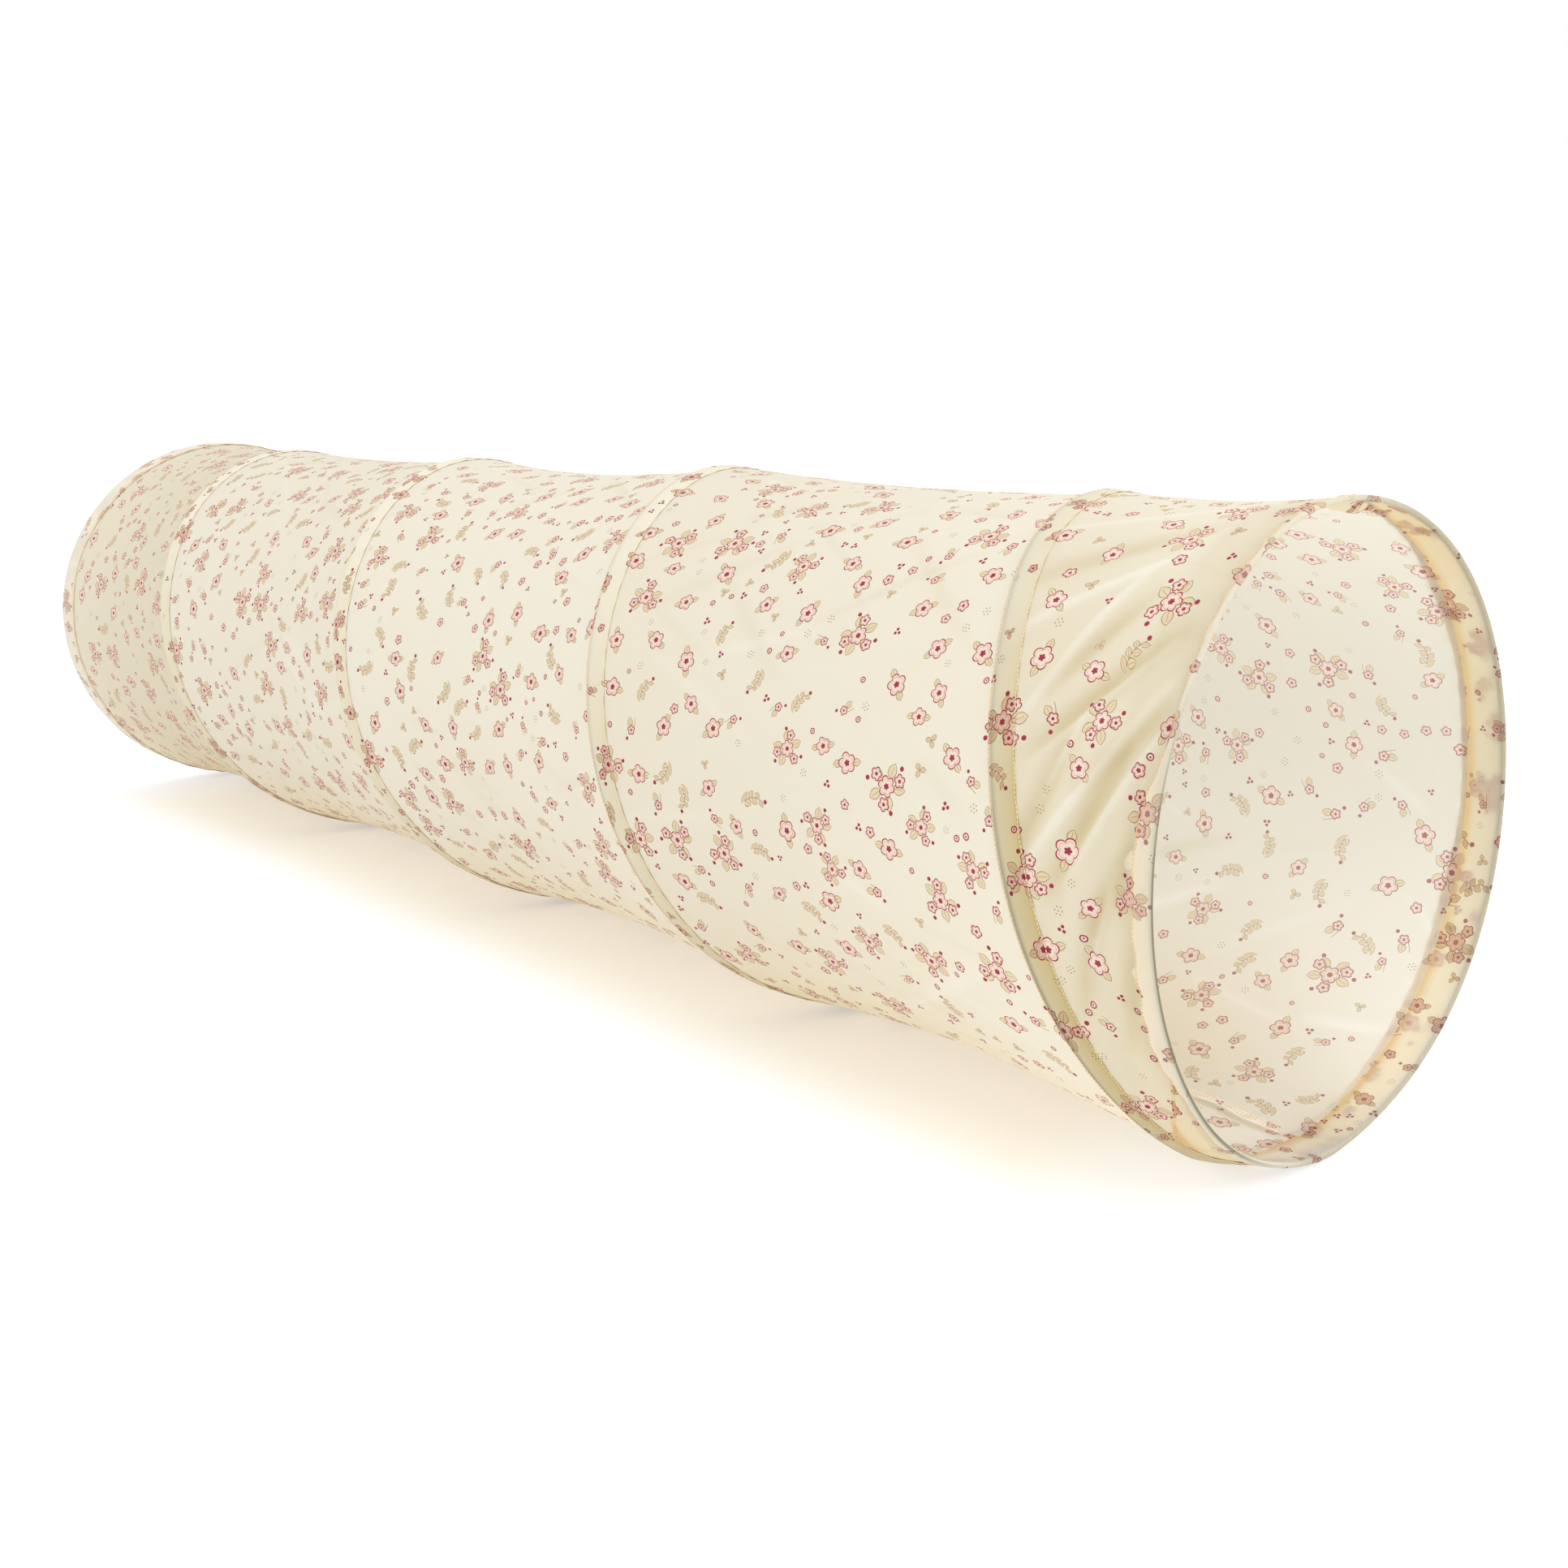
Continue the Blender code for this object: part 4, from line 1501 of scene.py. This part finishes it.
@dataclass
class CoilCasing:
    """The folded band that holds one turn of the coil.

    Attributes:
        shop: What the sub-assemblies share.
        turn: Which turn, from 0 at the near mouth.
        rows: Sections in the turn.
        fold_radius: Radius of the fold round the wire.
        pucker: Height of the waves along the front edge.
    """

    shop: Workshop
    turn: int
    rows: int = 432
    fold_radius: float = 2.0 * MM
    pucker: float = 0.3 * MM

    # Strength of the painted wire shade in each turn
    WIRE_SHADE_SEEN = (0.85, 0.5, 0.04, 0.0)
    # Painted shade of the double cloth: its strength in each turn, and from the wire to the stitched
    # edge
    DEPTH = (1.0, 0.42, 0.42, 0.42)
    DENSE = (0.0, 0.2, 0.34, 0.34)
    EDGE_SHADE = (1.3, 1.2, 0.75, 0.75)
    STITCH_SHARES = (0, 0.2, 0.7, 0.88, 1)
    STITCH_TONES = (0.55, 0.62, 0.78, 0.9)
    # Painted wire shade across the casing: millimetres ahead of the wire, and its strength
    WIRE_SHADE_PROFILE = ((-2.6, -1.7, -0.9, 0.6, 3.4), (0, 1, 0.8, 0.35, 0))
    FIRST_ANGLE = math.radians(5)
    LAST_GAP = 4 * MM
    HOOP_CLEARANCE = 3 * MM
    LEAST_ROOM = 0.15
    FLAT_STATIONS = 8
    FLAT_SPACING = 8.5
    FLAT_SLOPE = 0.75
    # Places beside the fold, as shares of its radius, and the fold's own in degrees
    BEFORE_FOLD = (0.6, 0.99)
    FOLD_ANGLES = (90, 105, 120, 135, 150)
    LIP_PLACE = (-0.75, 0.35)
    LIP_HEIGHT = 0.05 * MM
    # Label, station and lift of each row of stitches
    STITCHES = (("front", 0, 0.2 * MM), ("lip", 14, 0.25 * MM))
    DEEP_LIPS = 2
    PUCKER_COUNT = 71
    PUCKER_DRIFT = (1.1, 9)
    EDGE_SWAY = 0.5 * MM
    SWAY_COUNT = 4.3
    # Sides where the painted wire shade and the painted shade are full, in degrees, and their shares
    # elsewhere
    UNDERSIDE = (330, 350, 359, 360)
    WIRE_SHADE_SIDE = (-1, 0, 62, 128)
    SHADE_SIDE = (-1, 0, 85, 150)
    WIRE_SHADE_ELSEWHERE = 0.16
    SHADE_ELSEWHERE = 0.3
    # Painted shade on the lip, and the share kept near the floor, where the floor lights the casing
    LIP_SHADE = 0.1
    LIP_START = -0.5
    FLOOR_SHADE = 0.5
    FLOOR_REACH = (12, 48)

    def span(self) -> tuple[float, float]:
        """Returns the first and last angle along the coil that the casing covers."""
        shape = self.shop.shape
        last = shape.angle_at(-shape.hem_edge + self.LAST_GAP)
        return max(self.turn * FULL_TURN, self.FIRST_ANGLE), min((self.turn + 1) * FULL_TURN, last)

    def stations(self) -> list[tuple[float, float]]:
        """Returns the section, front edge round the wire and back, as ahead and out."""
        shape = self.shop.shape
        width, lip, fold = shape.casing_width, shape.lip_width, self.fold_radius
        outer = []
        for step in range(self.FLAT_STATIONS):
            share = 1 - step / self.FLAT_SPACING
            outer.append((share * width, fold * (1 - self.FLAT_SLOPE * share**2)))
        outer.append(tuple(share * fold for share in self.BEFORE_FOLD))
        for degrees in self.FOLD_ANGLES:
            turn = math.radians(degrees)
            outer.append((fold * math.cos(turn), fold * math.sin(turn)))
        outer.append((self.LIP_PLACE[0] * lip, self.LIP_PLACE[1] * fold))
        outer.append((-lip, self.LIP_HEIGHT))
        inner = [(ahead, -out) for ahead, out in reversed(outer)]
        return outer + inner

    def mark_looks(self, band: Object, ahead: Array, out: Array, angles: Array) -> None:
        """Marks the painted wire shade, how dense the casing is, and its painted shade.

        Args:
            band: The casing.
            ahead: Distances from the wire to the casing's stations along the tube.
            out: Distances from the wire to the stations away from the tube's axis.
            angles: Angles along the coil, by stations.
        """
        shape = self.shop.shape
        # Painted shade line of the wire, full on the near side and underneath
        line = np.interp(ahead / MM, *self.WIRE_SHADE_PROFILE) * (out > 0)
        under = near_side(angles, *self.UNDERSIDE)
        side = near_side(angles, *self.WIRE_SHADE_SIDE) + under
        seen = self.WIRE_SHADE_ELSEWHERE + (1 - self.WIRE_SHADE_ELSEWHERE) * side
        mark(band, "wire_shade_line", self.WIRE_SHADE_SEEN[self.turn] * seen * line)
        # Painted shade, fullest on the near side and underneath, deeper towards the stitched edge,
        # less near the floor
        side = near_side(angles, *self.SHADE_SIDE) + under
        deep = self.SHADE_ELSEWHERE + (1 - self.SHADE_ELSEWHERE) * side
        tones = (*self.STITCH_TONES, self.EDGE_SHADE[self.turn])
        toward_stitch = np.interp(ahead / shape.casing_width, self.STITCH_SHARES, tones)
        double = np.where(ahead > self.LIP_START * shape.lip_width, toward_stitch, self.LIP_SHADE)
        from_floor = swell(np.degrees(np.mod(angles, FULL_TURN)), *self.FLOOR_REACH)
        lit = self.FLOOR_SHADE + (1 - self.FLOOR_SHADE) * from_floor
        mark(band, "painted_shade", self.DEPTH[self.turn] * deep * double * lit)
        mark(band, "dense", np.full(angles.shape, self.DENSE[self.turn]))

    def build(self) -> None:
        """Makes the casing and its two rows of stitches."""
        shape, shop = self.shop.shape, self.shop
        first, last = self.span()
        angle = np.linspace(first, last, self.rows + 1)
        ahead, out = (np.array(part)[None, :] for part in zip(*self.stations()))
        angles = np.broadcast_to(angle[:, None], (len(angle), ahead.shape[1]))
        wire = shape.wire_x(angles)
        width = shape.band_width(angles)
        room = np.clip((shape.hoop_x - self.HOOP_CLEARANCE - wire) / width, self.LEAST_ROOM, 1)
        squeeze = np.where(ahead > 0, room * width / shape.casing_width, 1)
        far, often = self.PUCKER_DRIFT
        wave = np.sin(self.PUCKER_COUNT * angles + far * np.sin(often * angles + self.turn))
        near_edge = np.clip(ahead / shape.casing_width, 0, 1) ** 3
        x = wire + ahead * squeeze + near_edge * self.EDGE_SWAY * np.sin(self.SWAY_COUNT * angles)
        radius = shape.path_radius + out + near_edge * self.pucker * wave
        unrolled = np.concatenate([[0], np.cumsum(np.hypot(np.diff(ahead[0]), np.diff(out[0])))])
        cloth_x = wire + shape.casing_width - unrolled[None, :]
        name = f"wire_band_{self.turn + 1}"
        band = shop.sheets.sheet(name, x, radius, angles, cloth_x, False)
        self.mark_looks(band, ahead, out, angles)
        node = f"coil_casing_{self.turn + 1}"
        shop.dress(band, shop.wardrobe.band, Body.REAR, Slot.CASING, node)
        shop.gather(band)
        rows = []
        pale, deep = shop.wardrobe.pale_thread, shop.wardrobe.thread
        for label, column, lift in self.STITCHES:
            thread = deep if label == "lip" and self.turn < self.DEEP_LIPS else pale
            line = x[:, column], radius[:, column], angle
            rows.append(shop.sew(f"{name}_stitches_{label}", line, lift, thread, Body.REAR))
            shop.gather(rows[-1])


# Slack folds on the near side of the front wedge: start angle in degrees, start x, end
# angle, end x, half width in millimetres and depth in millimetres, out where negative
SLACK_FOLDS = (
    (134, 0.885, 108, 0.785, 9, 3.6),
    (131, 0.878, 107, 0.790, 3.5, -2.6),
    (126, 0.892, 90, 0.796, 4, -2.8),
    (121, 0.890, 104, 0.830, 8, 3.2),
    (146, 0.832, 109, 0.768, 4, -2.2),
    (148, 0.850, 128, 0.740, 4.5, -2.0),
    (140, 0.846, 118, 0.785, 8, 2.6),
    (110, 0.884, 88, 0.886, 3, -1.6),
    (121, 0.834, 101, 0.804, 3, -1.8),
    (119, 0.896, 90, 0.830, 3.5, -2.6),
    (116, 0.824, 90, 0.790, 8, 2.8),
    (114, 0.868, 86, 0.816, 8, 3.6),
    (104, 0.890, 82, 0.850, 7, 2.8),
    (96, 0.872, 74, 0.846, 3, -1.8),
    (92, 0.860, 66, 0.838, 7, 2.6),
    (84, 0.882, 60, 0.868, 6, 2.0),
    (158, 0.860, 136, 0.715, 10, 2.2),
    (166, 0.850, 150, 0.700, 4, -1.4),
)


@dataclass
class ClothPanel:
    """The cloth of one bay, between a turn of the wire and the next.

    Attributes:
        shop: What the sub-assemblies share.
        bay: Which bay, from 0 between the near hem and the first turn.
        waist: How far a full bay draws in half way between its turns.
        step: Size of its faces.
    """

    shop: Workshop
    bay: int
    waist: float = 11 * MM
    step: float = 4.2 * MM

    NAMES = ("front_wedge", "slanted_cloth_1", "slanted_cloth_2", "slanted_cloth_3", "rear_wedge")
    NODES = (
        "front_wedge_panel", "slanted_panel_1", "slanted_panel_2", "slanted_panel_3",
        "rear_wedge_panel",
    )
    # Painted shade of each bay as a whole, darker where less light reaches it
    PAINTED_SHADES = (0.21, 0.12, 0.0, 0.06, 0.34)
    TOP_WAISTS = (1.05, 0.5, 0.95, 0.5, 0.6)
    TOP_SPREAD = 55
    CREASES = (30, 70, 70, 70, 30)
    CREASE_SEED = 100
    CREASE_SHADES = (0.14, 0.11, 0.11, 0.11, 0.11)
    # Painted shade on the slack near side of the front wedge
    SLACK_SHADE = 0.17
    WEDGE_STEP = 0.62
    WEDGE_WIDTH = 0.92
    # Height and reach of the puckers at the front and the rear edge in millimetres, their
    # count, and how far and how often their phase drifts
    PUCKERS = ((0.5, 14, 83, 2, 5), (0.6, 16, 71, 1.7, 6))
    PUCKERED_WIDTH = 40 * MM
    EDGE_FADE = 0.08
    HEM_TUCK = 6 * MM
    HOOP_GAP = 2.5 * MM
    IN_HEM = 0.6 * MM
    UNDER_CASING = -2.9 * MM
    IN_CASING = -0.1 * MM
    FRONT_TUCK = 1.5 * MM
    REAR_TUCK = 2 * MM
    FAR_HEM_TUCK = 7 * MM
    MOUTH_TIP = 12 * MM
    SHADE_LIMITS = (-1.8, 4)
    SLACK_SIDE = (10, 60, 125, 185)

    def span(self) -> tuple[float, float]:
        """Returns the first and last angle round the tube that the panel covers."""
        shape = self.shop.shape
        if self.bay == 0:
            return shape.angle_at(shape.hoop_x - self.MOUTH_TIP), FULL_TURN
        if self.bay == shape.turns:
            closes = shape.angle_at(-shape.hem_edge + self.HEM_TUCK)
            return 0, closes - (shape.turns - 1) * FULL_TURN
        return 0, FULL_TURN

    def edges(self, angle: Array) -> list[Array]:
        """Returns the front edge's x and radius and the rear edge's, as columns."""
        shape = self.shop.shape
        if self.bay == 0:
            hidden = (shape.hoop_x - shape.hem_edge) * cut_away(angle, OUTER_CUTS)
            front_x = shape.hem_edge + self.HEM_TUCK + hidden
            front_x = np.minimum(front_x, shape.hoop_x - self.HOOP_GAP)
            front_out = self.IN_HEM
        else:
            along = angle + (self.bay - 1) * FULL_TURN
            front_x = shape.wire_x(along) + shape.band_width(along) - self.FRONT_TUCK
            front_x = np.minimum(front_x, shape.hem_edge + self.HEM_TUCK)
            front_out = self.UNDER_CASING
        if self.bay == shape.turns:
            rear_x = np.full_like(angle, -shape.hem_edge - self.FAR_HEM_TUCK)
            rear_out = self.IN_HEM
        else:
            along = angle + self.bay * FULL_TURN
            rear_x = shape.wire_x(along) + shape.band_width(along) - self.REAR_TUCK
            rear_x = np.maximum(rear_x, -shape.hem_edge - self.HEM_TUCK)
            rear_out = self.IN_CASING
        front_radius, rear_radius = (
            np.full_like(angle, shape.path_radius + out) for out in (front_out, rear_out)
        )
        return [edge[:, None] for edge in (front_x, front_radius, rear_x, rear_radius)]

    def creases(self) -> CreaseField:
        """Returns the creases of this bay."""
        creased = CreaseField(self.shop.shape)
        rng = random.Random(self.CREASE_SEED + self.bay)
        creased.scatter(rng, self.CREASES[self.bay], self.bay, 0, FULL_TURN)
        for start, start_x, end, end_x, width, depth in SLACK_FOLDS if self.bay == 0 else ():
            places = (math.radians(start), start_x), (math.radians(end), end_x)
            creased.creases.append(Crease(*places, width * MM, depth * MM))
        return creased

    def build(self) -> None:
        """Makes the panel."""
        shape, shop = self.shop.shape, self.shop
        pitch = shape.rise * FULL_TURN
        first, last = self.span()
        step = self.step * (self.WEDGE_STEP if self.bay == 0 else 1)
        rows = round((last - first) * shape.radius / step)
        columns = round(pitch * (1 if 0 < self.bay < shape.turns else self.WEDGE_WIDTH) / step)
        angle = np.linspace(first, last, rows + 1)
        front_x, front_radius, rear_x, rear_radius = self.edges(angle)
        width = front_x - rear_x
        x = front_x - width * np.linspace(0, 1, columns + 1)[None, :]
        angles = np.broadcast_to(angle[:, None], x.shape)
        tuck = 0 if self.bay == 0 else shape.casing_width + shape.lip_width
        clear = np.clip((front_x - x - tuck) / np.maximum(width - tuck, MM), 0, 1)
        tautness = 1 - (1 - self.TOP_WAISTS[self.bay]) * hump(angles, 180, self.TOP_SPREAD)
        draw = self.waist * tautness * np.clip(width / pitch, 0, 1) * 4 * clear * (1 - clear)
        level = front_radius + (rear_radius - front_radius) * clear
        fade = np.clip(clear / self.EDGE_FADE, 0, 1) * np.clip((1 - clear) / self.EDGE_FADE, 0, 1)
        pucker = sum(
            height * MM * np.exp(-inside * width / (reach * MM))
            * np.sin(count * angles + far * np.sin(often * angles))
            for inside, (height, reach, count, far, often) in zip((clear, 1 - clear), self.PUCKERS)
        )
        drop = self.creases().drop(x, angles)
        radius = level - draw - fade * (drop + pucker * (width > self.PUCKERED_WIDTH))
        panel = shop.sheets.sheet(self.NAMES[self.bay], x, radius, angles, x, False)
        # Painted shade in the creases' valleys and on the front wedge's slack near side, over the
        # bay's own
        shaded = self.CREASE_SHADES[self.bay] * np.clip(drop / MM, *self.SHADE_LIMITS)
        if self.bay == 0:
            shaded = shaded + self.SLACK_SHADE * near_side(angles, *self.SLACK_SIDE)
        mark(panel, "painted_shade", np.clip(shaded + self.PAINTED_SHADES[self.bay], 0, 1))
        shop.dress(panel, shop.wardrobe.panel, Body.REAR, Slot.PANEL, self.NODES[self.bay])
        shop.gather(panel)


@dataclass
class BottomSeam:
    """The overlocked seam along the floor side, inside the tube."""

    shop: Workshop
    width: float = 10 * MM

    STATIONS = 560
    INSET = 4.0 * MM
    DIP = 11 * MM
    THREAD_LIFT = -0.3 * MM
    COLUMNS = 7
    THREAD_COLUMNS = (("left", 2), ("right", 4))
    # Size in millimetres, count in a metre and phase of each wave of its line
    WANDERS = ((1.6, 61, 0), (1.1, 137, 1))
    RIPPLE = 0.7 * MM
    RIPPLES_PER_METRE = 290
    ARCH = 0.5 * MM

    def build(self) -> None:
        """Makes the seam allowance and its double row of thread."""
        shape, shop = self.shop.shape, self.shop
        pitch = shape.rise * FULL_TURN
        low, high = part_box("bottom_seam")
        x = np.linspace(high.x, low.x, self.STATIONS)
        from_wire = np.mod(shape.coil_end - x, pitch) / pitch
        base = shape.path_radius - self.INSET - self.DIP * 4 * from_wire * (1 - from_wire)
        wander = sum(size * MM * np.sin(x * often + phase) for size, often, phase in self.WANDERS)
        across = np.linspace(-0.5, 0.5, self.COLUMNS)
        offset = wander[:, None] + self.width * across[None, :]
        arch = np.cos(math.pi * across)[None, :]
        ripple = self.RIPPLE * np.sin(x * self.RIPPLES_PER_METRE)[:, None]
        radius = base[:, None] + (ripple - self.ARCH) * arch
        angles = offset / shape.radius
        xs = np.broadcast_to(x[:, None], radius.shape)
        seam = shop.sheets.sheet("floor_seam", xs, radius, angles, xs, True)
        shop.dress(seam, shop.wardrobe.seam, Body.REAR, Slot.SEAM, "bottom_seam")
        shop.gather(seam)
        rows = []
        for label, column in self.THREAD_COLUMNS:
            line = x, radius[:, column], angles[:, column]
            name = "floor_seam_stitches_" + label
            rows.append(shop.sew(name, line, self.THREAD_LIFT, shop.wardrobe.thread, Body.REAR))
            shop.gather(rows[-1])


def close_ring(piece: Object) -> None:
    """Joins the first and last section of a ring, which lie on each other."""
    build = bmesh.new()
    build.from_mesh(piece.data)
    bmesh.ops.remove_doubles(build, verts=build.verts, dist=0.01 * MM)
    build.to_mesh(piece.data)
    build.free()
    piece.data.shade_smooth()


def mark(piece: Object, name: str, values: Array) -> None:
    """Writes one value for each point of a sheet.

    Args:
        piece: The cloth piece, whose points are in the array's order.
        name: The attribute's name.
        values: The values, in the layout that the sheet was made with.
    """
    attribute = piece.data.attributes.new(name, "FLOAT", "POINT")
    attribute.data.foreach_set("value", values.astype(np.float32).reshape(-1))


FLOOR_LIFT = (0.36, 0.85)
# Painted warm shadow on the floor round the tunnel, and the floor's colour away from it
FLOOR_WARM_SHADOW = (0.93, 0.83, 0.62)
FLOOR_AWAY = (0.93, 0.93, 0.92)
FLOOR_GLOW = 1.22
FLOOR_SIZE = 60
# Where the painted warm shadow and the lower camera lift fade out round the tunnel
WARM_SHADOW_SHORTENED = 0.08
WARM_SHADOW_EDGE = (-0.06, 0.07)
AWAY_EDGE = (-0.03, 0.19)
ROOM_LIGHT = 0.86


@dataclass
class Studio:
    """The floor, the light and the camera.

    Attributes:
        eye: Where the camera stands.
        heading: Its direction round +Z from +X, in degrees.
        tilt: Its angle above the horizon, in degrees.
        roll: Its turn about its own line of sight, in degrees.
        lens: Focal length over the picture's width.
        sensor: Width of the camera's sensor, in millimetres.
        covered: Half the width and half the length of the floor that the tunnel stands over.
    """

    eye: tuple[float, float, float] = (1.4586, -1.0428, 0.5452)
    heading: float = 137.72
    tilt: float = -13.22
    roll: float = -0.22
    lens: float = 1.0586
    sensor: float = 36.0
    covered: tuple[float, float] = (0.18, 0.84)

    # Name, place, aim, side in metres, power in watts and colour of each lamp
    LAMPS = (
        ("overhead", (-0.1, -0.4, 3.0), (-0.1, 0, 0.2), 3.2, 25, (1.0, 0.99, 0.97)),
        ("near_side", (-0.3, -3.0, 1.5), (-0.3, 0, 0.2), 2.2, 17.5, (1.0, 0.985, 0.96)),
        ("far_side", (-0.8, 2.6, 1.8), (0.0, 0, 0.2), 2.4, 12.8, (1.0, 0.98, 0.94)),
        ("mouth_fill", (2.25, 0.0, 1.0), (0.7, 0.0, 0.02), 1.2, 12.5, (0.97, 0.985, 1.0)),
    )

    def camera(self) -> None:
        """Sets up the camera where the photograph was taken."""
        data = bpy.data.cameras.new("camera")
        data.sensor_width = self.sensor
        data.lens = self.lens * self.sensor
        data.clip_start = 0.02
        camera = link_piece("camera", data)
        heading, tilt = math.radians(self.heading), math.radians(self.tilt)
        gaze = Vector(
            (math.cos(tilt) * math.cos(heading), math.cos(tilt) * math.sin(heading), math.sin(tilt))
        )
        camera.location = self.eye
        camera.rotation_mode = "QUATERNION"
        roll = Quaternion((0, 0, 1), math.radians(self.roll))
        camera.rotation_quaternion = gaze.to_track_quat("-Z", "Y") @ roll
        bpy.context.scene.camera = camera

    def lamp(
        self, name: str, place: tuple, aim: tuple, size: float, power: float, tint: Colour
    ) -> None:
        """Adds one soft square lamp.

        Args:
            name: The lamp's name.
            place: Where it hangs.
            aim: What it points at.
            size: Its side.
            power: Its power in watts.
            tint: Its colour.
        """
        data = bpy.data.lights.new(name, "AREA")
        data.size = size
        data.energy = power
        data.color = tint
        lamp = link_piece(name, data)
        lamp.location = place
        lamp.rotation_mode = "QUATERNION"
        lamp.rotation_quaternion = (Vector(aim) - Vector(place)).to_track_quat("-Z", "Y")

    def floor(self) -> None:
        """Adds the white floor, which shows as white and keeps the tunnel's shadow, with a painted
        warm shadow round the tunnel.
        """
        bpy.ops.object.select_all(action="DESELECT")
        bpy.ops.mesh.primitive_plane_add(size=FLOOR_SIZE, location=(0, 0, 0))
        floor = bpy.context.active_object
        floor.name = "studio_floor"
        material, board, shader = start_material("studio_floor")
        x, y, _ = board.split(board.place())
        beside, beyond = abs(y) - self.covered[0], abs(x) - self.covered[1]
        # Painted warm shadow round the tunnel, where the camera lift is lower too
        warm_shadow = board.ramp(beside | beyond + WARM_SHADOW_SHORTENED, *WARM_SHADOW_EDGE)
        away = board.ramp(beside | beyond, *AWAY_EDGE)
        board.fill(shader, {
            "Base Color": board.mix(warm_shadow, FLOOR_WARM_SHADOW, FLOOR_AWAY),
            "Roughness": 1.0,
            "Specular IOR Level": 0.0,
        })
        glow = board.add("ShaderNodeEmission")
        board.fill(glow, {"Strength": FLOOR_GLOW})
        lift = away * (FLOOR_LIFT[1] - FLOOR_LIFT[0]) + FLOOR_LIFT[0]
        board.surface(board.output("ShaderNodeLightPath", "Is Camera Ray") * lift, shader, glow)
        floor.data.materials.append(material)

    def world(self) -> None:
        """Lights the room evenly, and shows as white to the camera, in metal and in glass."""
        world = bpy.data.worlds.new("studio")
        bpy.context.scene.world = world
        world.use_nodes = True
        board = NodeBoard(world.node_tree)
        path = board.add("ShaderNodeLightPath")
        camera, glossy, through = (
            Term(board, path.outputs[f"Is {ray} Ray"]) for ray in ("Camera", "Glossy", "Transmission")
        )
        strength = (camera | glossy | through) * (1 - ROOM_LIGHT) + ROOM_LIGHT
        board.fill(world.node_tree.nodes["Background"], {"Color": (1, 1, 1), "Strength": strength})

    def build(self) -> None:
        """Sets up the whole studio."""
        self.camera()
        self.floor()
        self.world()
        for lamp in self.LAMPS:
            self.lamp(*lamp)
        bpy.context.scene.view_settings.view_transform = "Standard"


def main() -> None:
    """Builds the tunnel around the frame, then the studio."""
    logging.basicConfig(level=logging.INFO, format="%(name)s: %(message)s")
    shape = TubeShape()
    shop = Workshop(shape, Sheets(shape), Wardrobe.make(), StitchRow())
    SpringWire(shop).build()
    for end in (1, -1):
        MouthHem(shop, end).build()
    for turn in range(shape.turns):
        CoilCasing(shop, turn).build()
    for bay in range(shape.turns + 1):
        ClothPanel(shop, bay).build()
    BottomSeam(shop).build()
    Studio().build()
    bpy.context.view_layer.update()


if __name__ == "__main__":
    main()
